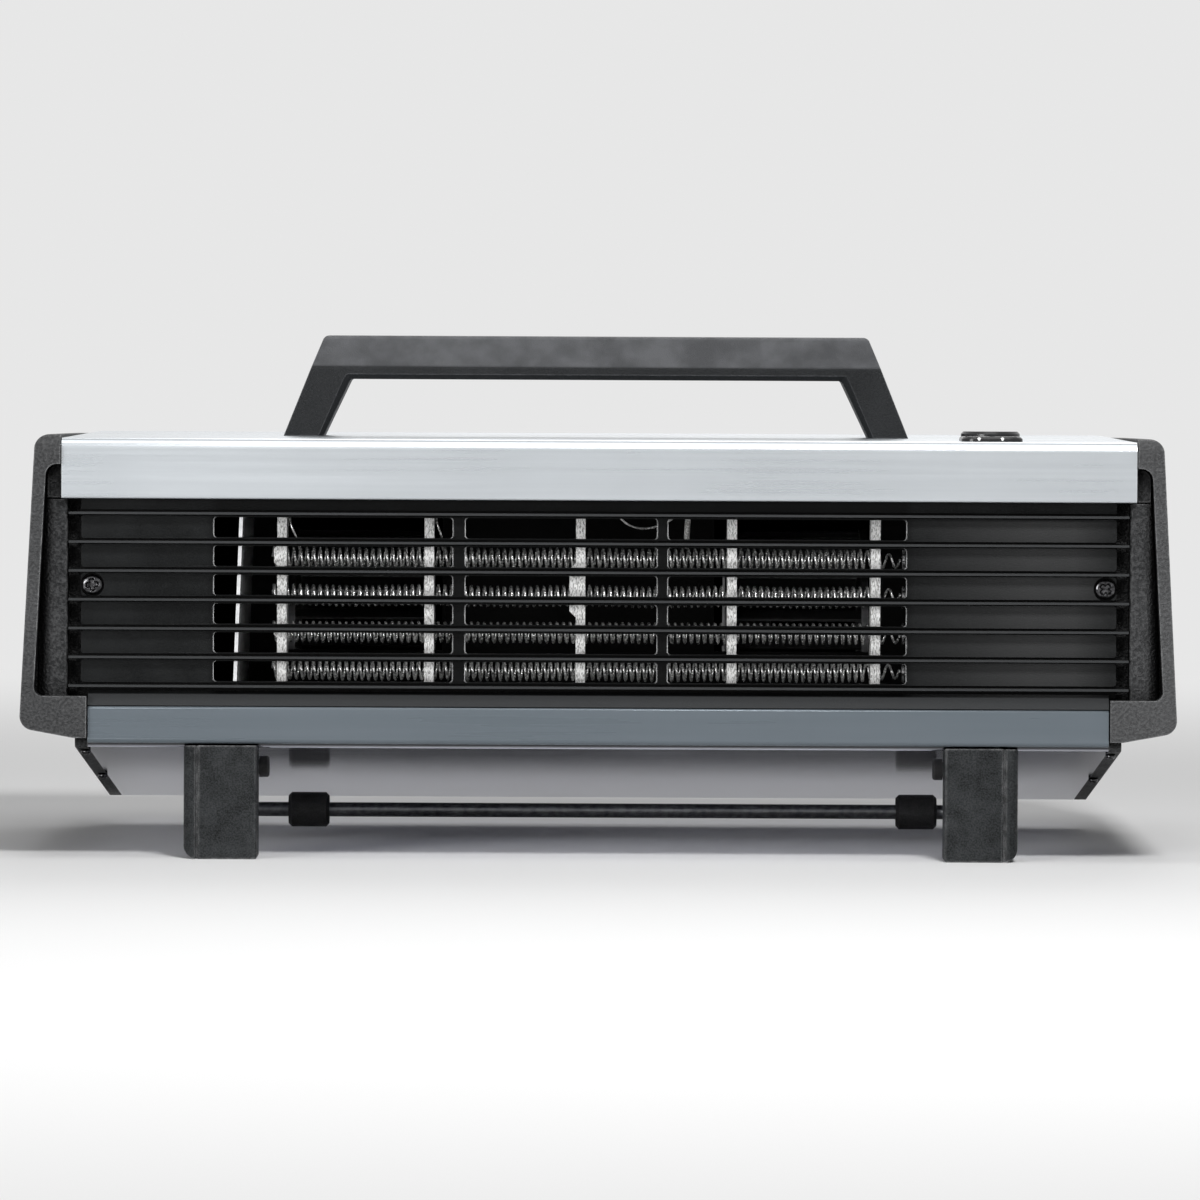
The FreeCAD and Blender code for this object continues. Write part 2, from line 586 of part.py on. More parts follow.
# Handle: a trapezoid arch whose upper faces lean in to the top of the grip
def handle():
    inner_base = HANDLE_BASE_HALF - HANDLE_LEG
    gap_z = HANDLE_TOP_Z - GRIP
    arch = [(-HANDLE_BASE_HALF, TOP_Z, 0), (-inner_base, TOP_Z, 0), (-GRIP_HALF, gap_z, GRIP_CORNER),
            (GRIP_HALF, gap_z, GRIP_CORNER), (inner_base, TOP_Z, 0), (HANDLE_BASE_HALF, TOP_Z, 0),
            (HANDLE_TOP_HALF, HANDLE_TOP_Z, HANDLE_CORNER), (-HANDLE_TOP_HALF, HANDLE_TOP_Z, HANDLE_CORNER)]
    a, b = HANDLE_DEPTH / 2, GRIP_TOP_DEPTH / 2
    section = [(HANDLE_Y - a, TOP_Z, 0), (HANDLE_Y + a, TOP_Z, 0), (HANDLE_Y + a, GRIP_FACET_Z, FACET_ROUND),
               (HANDLE_Y + b, HANDLE_TOP_Z, GRIP_TOP_ROUND), (HANDLE_Y - b, HANDLE_TOP_Z, GRIP_TOP_ROUND),
               (HANDLE_Y - a, GRIP_FACET_Z, FACET_ROUND)]
    grip = prism_y(arch, HANDLE_Y - a, HANDLE_Y + a)
    grip = grip.common(prism_x(section, -HANDLE_BASE_HALF, HANDLE_BASE_HALF))
    gap = arch[1:5]
    wide = [(x + math.copysign(GRIP_CHAMFER, x), z if z == TOP_Z else z + GRIP_CHAMFER, corner)
            for x, z, corner in gap]
    for y, depth in ((HANDLE_Y - a, GRIP_CHAMFER), (HANDLE_Y + a, -GRIP_CHAMFER)):
        mouth = [Part.Wire(rounded_edges(points, lambda u, v, at=at: Vector(u, at, v)))
                 for points, at in ((wide, y), (gap, y + depth))]
        grip = grip.cut(Part.makeLoft(mouth, True, True))
    grip.translate(Vector(HANDLE_X, 0, 0))
    return cut_holes(grip, handle_screw_at, UP)


# Right front foot: a moulding open at the rear, where the bail's arm swings
def front_foot():
    outer_x = foot_inner_x + FOOT_WIDTH
    band_x = outer_x - FOOT_BAND
    rear_y = foot_front_y + FOOT_DEPTH
    groove_x = band_x - FOOT_GROOVE
    band_y = foot_front_y + FOOT_STEP
    plan = [(foot_inner_x, foot_front_y, FOOT_EDGE), (groove_x, foot_front_y, BAND_EDGE),
            (groove_x, band_y + FOOT_GROOVE, 0), (band_x, band_y + FOOT_GROOVE, 0),
            (band_x, band_y, BAND_EDGE), (outer_x, band_y, FOOT_ROUND), (outer_x, rear_y, FOOT_EDGE),
            (foot_inner_x, rear_y, FOOT_EDGE)]
    view = [(foot_inner_x, 0, FOOT_EDGE), (outer_x, 0, FOOT_CORNER), (outer_x, TOP_Z, 0),
            (foot_inner_x, TOP_Z, 0)]
    foot = prism_z(plan, 0, TOP_Z).common(prism_y(view, foot_front_y, rear_y))
    trim_under = block(0, CASE_WIDTH, front_y, -seat_y, TRIM_FOOT_Z - PLAY, 2 * TOP_Z)
    foot = below_pan(foot).cut(trim_under)
    foot = foot.cut(block(foot_inner_x + WALL, outer_x - WALL, foot_front_y + WALL, rear_y + WALL,
                          WALL, foot_wall_z))
    foot = foot.cut(rod_x(WIRE_R + FIT, 0, foot_inner_x + 2 * WALL, bail_pivot_y, bail_pivot_z))
    foot.translate(Vector(FEET_X, 0, 0))
    return cut_holes(foot, foot_screw_at[1:], UP)


# Rear feet: short rubber pads under the pan, each round its screw
def rear_foot(seat):
    pad = Part.makeCone(REAR_FOOT_R * 0.9, REAR_FOOT_R, CASE_DEPTH, Vector(seat.x, seat.y, 0), UP)
    pad = below_pan(pad)
    pad = pad.cut(rod_z(SCREW_HEAD_R + FIT, seat.x, seat.y, -WALL, seat.z))
    return pad.cut(screw_hole(seat, UP))


# Bail: one wire, its stubs turned inwards through the feet and its bar across under the pan
def bail_place(x, along):
    """Point of the bail's own plane, which falls from its pivot to its bar."""
    run = Vector(0, bail_bar_y - bail_pivot_y, bail_bar_z - bail_pivot_z).normalize()
    return Vector(FEET_X + x, bail_pivot_y, bail_pivot_z) + run * along


bail_reach = math.hypot(bail_bar_y - bail_pivot_y, bail_bar_z - bail_pivot_z)
stub_x = foot_inner_x - BAIL_CAP
sleeves_x = [FEET_X + SLEEVE_SETS[0] - foot_inner_x, FEET_X + foot_inner_x - SLEEVE_SETS[1]]


def bail_wire():
    bend = 2 * WIRE_R
    points = [(-stub_x, 0, 0), (-bail_arm_x, 0, bend), (-bail_arm_x, bail_reach, BAIL_BEND),
              (bail_arm_x, bail_reach, BAIL_BEND), (bail_arm_x, 0, bend), (stub_x, 0, 0)]
    path = Part.Wire(rounded_edges(points, bail_place, closed=False))
    ring = Part.Wire(Part.makeCircle(WIRE_R, bail_place(-stub_x, 0), Vector(1, 0, 0)))
    return path.makePipeShell([ring], True, False)


def bail_sleeve(x):
    sleeve = rod_x(SLEEVE_R, x - SLEEVE_LENGTH / 2, x + SLEEVE_LENGTH / 2, bail_bar_y, bail_bar_z)
    sleeve = sleeve.makeChamfer(SLEEVE_CHAMFER, [edge for edge in sleeve.Edges if edge.Closed])
    return sleeve.cut(rod_x(WIRE_R + FIT, x - SLEEVE_LENGTH, x + SLEEVE_LENGTH, bail_bar_y, bail_bar_z))


def bail_cap():
    cap = rod_x(BAIL_CAP_R, stub_x - BAIL_CAP_END, foot_inner_x - PLAY, bail_pivot_y, bail_pivot_z)
    end = [edge for edge in cap.Edges if edge.Closed and edge.CenterOfMass.x < stub_x]
    cap = cap.makeFillet(BAIL_CAP_ROUND, end)
    cap = cap.cut(rod_x(WIRE_R + FIT, stub_x, foot_inner_x, bail_pivot_y, bail_pivot_z))
    cap.translate(Vector(FEET_X, 0, 0))
    return cap


# Heating element: coils strung through holed posts that stand between two rails
def mica_post(index):
    """Post of the given place in the row, with its sloping ears on the left."""
    x = first_post_x + POST_PLACES[index] * post_span
    y0, y1 = element_y - POST_DEPTH / 2, element_y + POST_DEPTH / 2
    post = block(x - POST / 2, x + POST / 2, y0, y1, rail_foot_z + RAIL, rail_top_z - RAIL)
    for place, z, length, reach in POST_EARS:
        if place == index:
            ear = [(x, z - length / 2, 0), (x, z + length / 2, 0), (x - POST / 2, z + length / 2, 0),
                   (x - POST / 2 - reach, z + length / 2 - reach, 0),
                   (x - POST / 2 - reach, z - length / 2 + reach, 0), (x - POST / 2, z - length / 2, 0)]
            post = post.fuse(prism_y(ear, y0, element_y))
    post = post.removeSplitter()
    return post.cut([rod_x(COIL_R + FIT, x - 2 * POST, x + POST, element_y, z) for z in coil_rows_z])


def heating_coil(z):
    coil = rod_x(COIL_R, coil_left_x, coil_right_x, element_y, z)
    return coil.cut(rod_x(COIL_BORE_R, coil_left_x, coil_right_x, element_y, z))


def element_rail(z):
    y0, y1 = element_y - POST_DEPTH / 2, element_y + POST_DEPTH / 2
    left = duct_left(z + RAIL) + SHEET
    return block(left, duct_right_x - SHEET, y0 - RAIL, y1 + RAIL, z, z + RAIL)


def element_terminal(z):
    """Stud through the right duct plate, its collar against the end of a coil."""
    collar = rod_x(COIL_R, coil_right_x, coil_right_x + SHEET, element_y, z)
    stud = rod_x(TERMINAL_R, coil_right_x, duct_right_x + RAIL, element_y, z)
    nut = rod_x(COIL_R, duct_right_x, duct_right_x + RAIL, element_y, z)
    return collar.fuse([stud, nut]).removeSplitter()


# Duct: two side plates standing on the pan, a top and a bottom plate and a bulkhead behind
def duct_left(z):
    """Outer face of the duct's leaning left side."""
    return duct_left_x + DUCT_LEAN * (z - DUCT_FOOT_Z) / (DUCT_TOP_Z - DUCT_FOOT_Z)


def duct_side(x, width):
    step_y, step_z = -seat_y + SHEET + PAN_BEND, PAN_FLANGE_Z + PLAY
    outline = [(step_y, floor_z(step_y), 0), (duct_rear_y, floor_z(duct_rear_y), 0),
               (duct_rear_y, DUCT_TOP_Z, 0), (duct_front_y, DUCT_TOP_Z, 0), (duct_front_y, step_z, 0),
               (step_y, step_z, 0)]
    return prism_x(outline, x, x + width)


def duct_left_plate():
    """Left side with a hem along its front edge, both leaning."""
    foot_z = REAR_GAP
    lean = [(duct_left(foot_z), foot_z, 0), (duct_left(foot_z) + SHEET, foot_z, 0),
            (duct_left(TOP_Z) + SHEET, TOP_Z, 0), (duct_left(TOP_Z), TOP_Z, 0)]
    hem = [(x - DUCT_HEM, z, 0) for x, z, _ in lean]
    plate = prism_y(lean, duct_front_y, duct_rear_y).fuse(prism_y(hem, duct_front_y, duct_front_y + HEM))
    solid = duct_side(duct_left_x - SHEET, DUCT_LEAN * 2 + 2 * SHEET)
    return plate.common(solid).removeSplitter()


def duct_right_plate():
    holes = [rod_x(TERMINAL_R + FIT, coil_right_x, CASE_WIDTH, element_y, z) for z in coil_rows_z]
    return duct_side(duct_right_x - SHEET, SHEET).cut(holes)


def duct_sheet(z):
    left = duct_left(z + SHEET) + SHEET
    return block(left, duct_right_x - SHEET, duct_front_y, duct_rear_y, z, z + SHEET)


scroll_top_z = SHAFT_Z + SCROLL_R
outlet_foot_z = scroll_top_z - OUTLET_HEIGHT
bulkhead_y = duct_rear_y + SHEET


def duct_bulkhead():
    outline = [(duct_rear_y, floor_z(duct_rear_y), 0), (bulkhead_y, floor_z(bulkhead_y), 0),
               (bulkhead_y, DUCT_TOP_Z, 0), (duct_rear_y, DUCT_TOP_Z, 0)]
    plate = prism_x(outline, -inner_x + PLAY, inner_x - PLAY)
    half = SCROLL_WIDTH / 2 - SHEET
    return plate.cut([block(x - half, x + half, duct_rear_y - RAIL, bulkhead_y + RAIL,
                            outlet_foot_z + SHEET, scroll_top_z - SHEET) for x in scroll_x])


# Blower housing: a round shell with a straight outlet to the bulkhead and an inlet in each side
def blower_form(x, inset):
    half = SCROLL_WIDTH / 2 - inset
    drum = rod_x(SCROLL_R - inset, x - half, x + half, shaft_y, SHAFT_Z)
    mouth = block(x - half, x + half, bulkhead_y - inset, shaft_y,
                  outlet_foot_z + inset, scroll_top_z - inset)
    return drum.fuse(mouth)


def blower_housing(x):
    shell = blower_form(x, 0).cut(blower_form(x, SHEET))
    shell = shell.cut(rod_x(INLET_R, x - SCROLL_WIDTH, x + SCROLL_WIDTH, shaft_y, SHAFT_Z))
    return shell.removeSplitter()


# Blower wheel: forward-leaning blades between a hub disc on the motor side and an end ring
def fan_wheel(x):
    side = 1 if x > motor_x else -1
    disc_x = x - side * WHEEL_WIDTH / 2
    ring_x = x + side * (WHEEL_WIDTH / 2 - WALL)
    disc_at, ring_at = min(disc_x, disc_x + side * WALL), min(ring_x, ring_x + side * WALL)
    root_r = WHEEL_R - BLADE_DEPTH
    disc = rod_x(WHEEL_R, disc_at, disc_at + WALL, shaft_y, SHAFT_Z)
    ring = rod_x(WHEEL_R, ring_at, ring_at + WALL, shaft_y, SHAFT_Z)
    ring = ring.cut(rod_x(root_r, ring_at - WALL, ring_at + 2 * WALL, shaft_y, SHAFT_Z))
    hub_r = 2.5 * SHAFT_R
    hub_x = min(disc_x, disc_x + side * WHEEL_WIDTH / 3)
    hub = rod_x(hub_r, hub_x, hub_x + WHEEL_WIDTH / 3, shaft_y, SHAFT_Z)
    span = Vector(x - WHEEL_WIDTH / 2 + WALL / 2, shaft_y, SHAFT_Z)
    chord = BLADE_DEPTH * 0.92
    blades = []
    for i in range(BLADE_COUNT):
        blade = Part.makeBox(WHEEL_WIDTH - WALL, chord, BLADE, span + Vector(0, -chord / 2, -BLADE / 2))
        blade.rotate(span, Vector(1, 0, 0), BLADE_LEAN)
        blade.translate(Vector(0, WHEEL_R - BLADE_DEPTH / 2, 0))
        blade.rotate(span, Vector(1, 0, 0), 360.0 / BLADE_COUNT * i)
        blades.append(blade)
    wheel = disc.fuse([ring, hub] + blades).removeSplitter()
    return wheel.cut(rod_x(SHAFT_R + FIT, x - WHEEL_WIDTH, x + WHEEL_WIDTH, shaft_y, SHAFT_Z))


# Motor: a laminated ring between two cup-shaped end shields, in a cradle on the pan
def ring_x(outer_r, bore_r, x0, x1):
    ring = rod_x(outer_r, x0, x1, shaft_y, SHAFT_Z)
    return ring.cut(rod_x(bore_r, x0 - WALL, x1 + WALL, shaft_y, SHAFT_Z))


def motor_shield(side):
    face = motor_right_x if side > 0 else motor_left_x - SHIELD_LENGTH
    cup = rod_x(STATOR_R, face, face + SHIELD_LENGTH, shaft_y, SHAFT_Z)
    room = face if side > 0 else face + WALL
    cup = cup.cut(rod_x(STATOR_R - WALL, room, room + SHIELD_LENGTH - WALL, shaft_y, SHAFT_Z))
    seat = bearing_x(side)
    cup = cup.fuse(rod_x(BEARING_R + WALL, seat, seat + BEARING_LENGTH, shaft_y, SHAFT_Z))
    bore = rod_x(BEARING_R, seat - WALL, seat + BEARING_LENGTH + WALL, shaft_y, SHAFT_Z)
    return cup.cut(bore).removeSplitter()


def bearing_x(side):
    """Inner end of a bearing that is flush with its shield's outer face."""
    if side > 0:
        return motor_right_x + SHIELD_LENGTH - BEARING_LENGTH
    return motor_left_x - SHIELD_LENGTH


def motor_bearing(side):
    return ring_x(BEARING_R, SHAFT_R + FIT, bearing_x(side), bearing_x(side) + BEARING_LENGTH)


def motor_winding(side):
    bundle_r = STATOR_R - WALL - PLAY
    start = motor_right_x if side > 0 else motor_left_x - WINDING_LENGTH
    bundle = ring_x(bundle_r, ROTOR_R + WALL, start, start + WINDING_LENGTH)
    far = start + WINDING_LENGTH if side > 0 else start
    outer = [edge for edge in bundle.Edges if edge.Closed and abs(edge.CenterOfMass.x - far) < PLAY]
    return bundle.makeChamfer(WINDING_LENGTH / 4, outer)


def motor_cradle():
    reach = STATOR_R * 0.85
    saddle_z = SHAFT_Z - STATOR_R / 3
    y0, y1 = shaft_y - reach, shaft_y + reach
    upright = [(y0, floor_z(y0), 0), (y1, floor_z(y1), 0), (y1, saddle_z, WALL), (y0, saddle_z, WALL)]
    base = [(y0, floor_z(y0), 0), (y1, floor_z(y1), 0), (y1, floor_z(y1) + SHEET, 0),
            (y0, floor_z(y0) + SHEET, 0)]
    x0, x1 = motor_left_x + WALL, motor_right_x - WALL
    cradle = prism_x(base, x0, x1)
    cradle = cradle.fuse([prism_x(upright, x0, x0 + SHEET), prism_x(upright, x1 - SHEET, x1)])
    return cradle.cut(rod_x(STATOR_R + FIT, x0 - WALL, x1 + WALL, shaft_y, SHAFT_Z)).removeSplitter()


def motor_shaft():
    return rod_x(SHAFT_R, scroll_x[0] - WHEEL_WIDTH / 2, scroll_x[1] + WHEEL_WIDTH / 2, shaft_y, SHAFT_Z)


# Switches: two rocker keys in one cup that hangs through the cover under a bezel
switch_room = 2 * ROCKER_WIDTH + 4 * PLAY + SWITCH_WALL
switch_cup_width = switch_room + 2 * SWITCH_WALL
switch_cup_length = ROCKER_LENGTH + 4 * PLAY + 2 * SWITCH_WALL
rocker_offset = (ROCKER_WIDTH + SWITCH_WALL) / 2 + PLAY


def switch_bezel():
    outline = oblong(BEZEL_WIDTH, BEZEL_LENGTH, BEZEL_CORNER, switch_x, switch_y)
    frame = prism_z(outline, TOP_Z, TOP_Z + BEZEL_HEIGHT)
    top_rim = [edge for edge in frame.Edges if edge.BoundBox.ZMin > TOP_Z + BEZEL_HEIGHT / 2]
    frame = frame.makeChamfer(BEZEL_HEIGHT * 0.4, top_rim)
    room = oblong(switch_room, ROCKER_LENGTH + 4 * PLAY, 0, switch_x, switch_y)
    return frame.cut(prism_z(room, TOP_Z - WALL, TOP_Z + 2 * BEZEL_HEIGHT))


def switch_body():
    outline = oblong(switch_cup_width, switch_cup_length, 0, switch_x, switch_y)
    cup = prism_z(outline, TOP_Z - SWITCH_DEPTH, TOP_Z)
    wells = []
    for side in sides:
        x = switch_x + side * rocker_offset
        well = oblong(ROCKER_WIDTH + 2 * PLAY, ROCKER_LENGTH + 4 * PLAY, 0, x, switch_y)
        wells.append(prism_z(well, TOP_Z - SWITCH_DEPTH + SWITCH_WALL, TOP_Z + PLAY))
        reach = ROCKER_WIDTH / 2 + ROCKER_PIN + FIT
        wells.append(rod_x(ROCKER_PIN_R + FIT, x - reach, x + reach, switch_y, ROCKER_PIVOT_Z))
    return cup.cut(wells)


def rocker(x):
    """Key with a shallow V on top, a rounded underside and two pivot pins, resting front end up."""
    half = ROCKER_LENGTH / 2
    rise = half * math.tan(math.radians(ROCKER_TILT))
    edge = ROCKER_MIDDLE + rise
    side_view = [(switch_y - half, ROCKER_PIVOT_Z + edge, ROCKER_EDGE),
                 (switch_y - half, ROCKER_PIVOT_Z, ROCKER_EDGE),
                 (switch_y, ROCKER_PIVOT_Z - ROCKER_MIDDLE - rise, half),
                 (switch_y + half, ROCKER_PIVOT_Z, ROCKER_EDGE),
                 (switch_y + half, ROCKER_PIVOT_Z + edge, ROCKER_EDGE),
                 (switch_y, ROCKER_PIVOT_Z + ROCKER_MIDDLE, half)]
    key = prism_x(side_view, x - ROCKER_WIDTH / 2, x + ROCKER_WIDTH / 2)
    reach = ROCKER_WIDTH / 2 + ROCKER_PIN
    key = key.fuse(rod_x(ROCKER_PIN_R, x - reach, x + reach, switch_y, ROCKER_PIVOT_Z)).removeSplitter()
    key.rotate(Vector(x, switch_y, ROCKER_PIVOT_Z), Vector(-1, 0, 0), ROCKER_TILT)
    return key


# Thermostat: a box under the cover, its spindle through the cover to a flat knob
thermostat_top_z = TOP_Z - SHEET


def thermostat_body():
    width, length, height = THERMOSTAT
    body = prism_z(oblong(width, length, WALL, knob_x, knob_y), thermostat_top_z - height, thermostat_top_z)
    return body.cut(rod_z(SPINDLE_R + FIT, knob_x, knob_y, thermostat_top_z - height / 2, TOP_Z))


def thermostat_spindle():
    foot_z = thermostat_top_z - THERMOSTAT[2] / 2 + PLAY
    return rod_z(SPINDLE_R, knob_x, knob_y, foot_z, TOP_Z + PLAY + KNOB_HEIGHT / 2)


def thermostat_knob():
    foot_z = TOP_Z + PLAY
    knob = rod_z(KNOB_R, knob_x, knob_y, foot_z, foot_z + KNOB_HEIGHT)
    rim = [edge for edge in knob.Edges if edge.BoundBox.ZMin > foot_z + KNOB_HEIGHT / 2 and edge.Closed]
    knob = knob.makeChamfer(KNOB_HEIGHT / 3, rim)
    return knob.cut(rod_z(SPINDLE_R + FIT, knob_x, knob_y, TOP_Z, foot_z + KNOB_HEIGHT / 2 + FIT))


# Thermal cut-out on the duct, terminal block on the pan and bush in the pan's rear flange
def thermal_cutout():
    can = rod_z(2 * COIL_R, motor_x, element_y, DUCT_TOP_Z, DUCT_TOP_Z + 2 * RAIL)
    ears = oblong(6 * COIL_R, 2 * COIL_R, COIL_R / 2, motor_x, element_y)
    return can.fuse(prism_z(ears, DUCT_TOP_Z, DUCT_TOP_Z + SHEET)).removeSplitter()


def terminal_block():
    y1 = seat_y - TERMINAL_SET
    y0 = y1 - TERMINAL_LENGTH
    top_z = INLET_Z + BUSH_BORE_R
    outline = [(y0, floor_z(y0), 0), (y1, floor_z(y1), 0), (y1, top_z, 1.0), (y0, top_z, 1.0)]
    body = prism_x(outline, inlet_x - BUSH_FLANGE_R, inlet_x + BUSH_FLANGE_R)
    wells = [rod_z(SCREW_R, inlet_x + side * BUSH_FLANGE_R / 2, y, INLET_Z, INLET_Z + SCREW_LENGTH)
             for side in sides for y in (y0 + SCREW_LENGTH * 0.75, y1 - SCREW_LENGTH * 0.75)]
    return body.cut(wells)


def cord_bush():
    outer = Part.makeCone(BUSH_FLANGE_R, BUSH_NECK_R, BUSH_FLANGE, Vector(inlet_x, seat_y, INLET_Z), BACK)
    neck = rod_y(BUSH_NECK_R, inlet_x, seat_y - SHEET, seat_y, INLET_Z)
    inner = rod_y(BUSH_FLANGE_R - SHEET, inlet_x, seat_y - SHEET - WALL, seat_y - SHEET, INLET_Z)
    bush = outer.fuse([neck, inner]).removeSplitter()
    return bush.cut(rod_y(BUSH_BORE_R, inlet_x, seat_y - 2 * BUSH_FLANGE, seat_y + 2 * BUSH_FLANGE, INLET_Z))


first_post_x = coil_left_x + POST_LEFT_SET
post_span = coil_right_x - POST_RIGHT_SET - first_post_x
right_cap = end_cap()
right_foot = front_foot()
nodes = {
    "top_cover": [top_cover()],
    "lower_trim": [lower_trim()],
    "bottom_pan": [bottom_pan()],
    "left_end_cap": [mirrored(right_cap)],
    "right_end_cap": [right_cap],
    "front_grille": [front_grille()],
    "rear_grille": [rear_grille()],
    "grille_screws": [screw(seat, BACK) for seat in grille_screw_at],
    "rear_grille_screws": [screw(seat, FORE) for seat in intake_screw_at],
    "cover_screws": [screw(seat, FORE) for seat in cover_screw_at],
    "pan_edge_screws": [screw(seat, INTO_PAN, EDGE_SCREW_HEAD_R, EDGE_SCREW_R, EDGE_SCREW_LENGTH)
                        for seat in edge_screw_at],
    "handle": [handle()],
    "handle_screws": [screw(seat, UP) for seat in handle_screw_at],
    "left_front_foot": [mirrored(right_foot, FEET_X)],
    "right_front_foot": [right_foot],
    "front_foot_screws": [screw(seat, UP) for seat in foot_screw_at],
    "rear_feet": [rear_foot(seat) for seat in rear_screw_at],
    "rear_foot_screws": [screw(seat, UP) for seat in rear_screw_at],
    "bail_wire": [bail_wire()],
    "bail_sleeves": [bail_sleeve(x) for x in sleeves_x],
    "bail_caps": [mirrored(bail_cap(), FEET_X), bail_cap()],
    "mica_posts": [mica_post(index) for index in range(len(POST_PLACES))],
    "element_rails": [element_rail(rail_foot_z), element_rail(rail_top_z - RAIL)],
    "element_terminals": [element_terminal(z) for z in coil_rows_z],
    "duct_left_plate": [duct_left_plate()],
    "duct_right_plate": [duct_right_plate()],
    "duct_top_plate": [duct_sheet(rail_top_z)],
    "duct_bottom_plate": [duct_sheet(DUCT_FOOT_Z)],
    "duct_bulkhead": [duct_bulkhead()],
    "left_blower_housing": [blower_housing(scroll_x[0])],
    "right_blower_housing": [blower_housing(scroll_x[1])],
    "left_fan_wheel": [fan_wheel(scroll_x[0])],
    "right_fan_wheel": [fan_wheel(scroll_x[1])],
    "motor_shaft": [motor_shaft()],
    "motor_rotor": [ring_x(ROTOR_R, SHAFT_R + FIT, motor_left_x - RAIL, motor_right_x + RAIL)],
    "motor_stator": [ring_x(STATOR_R, STATOR_BORE_R, motor_left_x, motor_right_x)],
    "motor_winding": [motor_winding(side) for side in sides],
    "left_motor_shield": [motor_shield(-1)],
    "right_motor_shield": [motor_shield(1)],
    "motor_bearings": [motor_bearing(side) for side in sides],
    "motor_cradle": [motor_cradle()],
    "switch_bezel": [switch_bezel()],
    "switch_body": [switch_body()],
    "left_rocker": [rocker(switch_x - rocker_offset)],
    "right_rocker": [rocker(switch_x + rocker_offset)],
    "thermostat_body": [thermostat_body()],
    "thermostat_spindle": [thermostat_spindle()],
    "thermostat_knob": [thermostat_knob()],
    "thermal_cutout": [thermal_cutout()],
    "terminal_block": [terminal_block()],
    "cord_bush": [cord_bush()],
}
for row, z in enumerate(coil_rows_z, start=1):
    nodes[f"heating_coil_{row}"] = [heating_coil(z)]

os.makedirs("parts", exist_ok=True)
for name, solids in nodes.items():
    shape = solids[0] if len(solids) == 1 else Part.makeCompound(solids)
    shape.exportStep(f"parts/{name}.step")
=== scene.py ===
import bpy
import math
import numpy as np
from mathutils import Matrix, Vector


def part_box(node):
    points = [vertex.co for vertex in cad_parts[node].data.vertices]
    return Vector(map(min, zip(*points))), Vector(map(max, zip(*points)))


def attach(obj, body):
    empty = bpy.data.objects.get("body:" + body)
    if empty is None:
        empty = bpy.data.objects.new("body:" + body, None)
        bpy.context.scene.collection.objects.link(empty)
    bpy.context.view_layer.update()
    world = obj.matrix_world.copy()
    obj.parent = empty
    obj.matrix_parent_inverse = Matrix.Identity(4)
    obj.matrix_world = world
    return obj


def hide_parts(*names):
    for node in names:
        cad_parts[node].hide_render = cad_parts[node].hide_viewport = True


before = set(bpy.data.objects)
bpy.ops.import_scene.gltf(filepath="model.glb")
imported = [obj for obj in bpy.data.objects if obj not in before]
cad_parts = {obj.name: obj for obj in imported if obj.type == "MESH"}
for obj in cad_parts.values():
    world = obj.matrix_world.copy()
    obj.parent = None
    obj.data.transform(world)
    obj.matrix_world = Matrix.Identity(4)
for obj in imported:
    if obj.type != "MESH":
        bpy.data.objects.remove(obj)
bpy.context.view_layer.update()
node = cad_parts


# Bottom pan: one rolled steel sheet, folded up at the front and rear, with a satin face.
# Its floor falls to the rear, and the feet, the motor and the duct are all fixed to it.
# What faces the front is darkened, as painted shade.
def add_node(tree, kind, inputs, **settings):
    """One shader node: settings are its own options, and an input is a value or another node's socket."""
    made = tree.nodes.new(kind)
    for option, value in settings.items():
        setattr(made, option, value)
    for socket, value in inputs.items():
        if isinstance(value, bpy.types.NodeSocket):
            tree.links.new(value, made.inputs[socket])
        else:
            made.inputs[socket].default_value = value
    return made


def new_effect(name, inputs, outputs):
    """Empty shader group with value inputs and outputs: its tree, the sockets to read and those to fill."""
    tree = bpy.data.node_groups.new(name, "ShaderNodeTree")
    for socket, value in inputs.items():
        made = tree.interface.new_socket(socket, in_out="INPUT", socket_type="NodeSocketFloat")
        made.default_value = value
    for socket in outputs:
        tree.interface.new_socket(socket, in_out="OUTPUT", socket_type="NodeSocketFloat")
    return tree, tree.nodes.new("NodeGroupInput").outputs, tree.nodes.new("NodeGroupOutput").inputs


def place_effect(tree, effect, inputs):
    """Sockets that a shader group puts out, placed in a material with the material's own values."""
    return add_node(tree, "ShaderNodeGroup", inputs, node_tree=effect).outputs


def math_node(tree, operation, first, second=0.0):
    """Result of one sum on two values or sockets, of which some sums use only the first."""
    return add_node(tree, "ShaderNodeMath", {0: first, 1: second}, operation=operation).outputs[0]


def times(tree, *factors):
    """Product of values or sockets."""
    product = factors[0]
    for factor in factors[1:]:
        product = math_node(tree, "MULTIPLY", product, factor)
    return product


def spread(tree, value, given, wanted=(0.0, 1.0)):
    """A value that runs over the given range, carried over to the wanted range and held at its ends."""
    ranges = {"Value": value, "From Min": given[0], "From Max": given[1],
              "To Min": wanted[0], "To Max": wanted[1]}
    return add_node(tree, "ShaderNodeMapRange", ranges).outputs[0]


def between(tree, share, first, second):
    """Colour that goes from the first to the second as the share goes from 0 to 1."""
    colours = [c if isinstance(c, bpy.types.NodeSocket) else (*c, 1.0) for c in (first, second)]
    mix = {0: share, 6: colours[0], 7: colours[1]}
    return add_node(tree, "ShaderNodeMix", mix, data_type="RGBA").outputs[2]


def object_place(tree):
    """Coordinates of the piece itself, in metres."""
    return tree.nodes.new("ShaderNodeTexCoord").outputs["Object"]


def parts_of(tree, vector):
    """The X, Y and Z of a vector socket."""
    return add_node(tree, "ShaderNodeSeparateXYZ", {0: vector}).outputs


def face_normal(tree):
    """Direction that the surface faces."""
    return tree.nodes.new("ShaderNodeNewGeometry").outputs["Normal"]


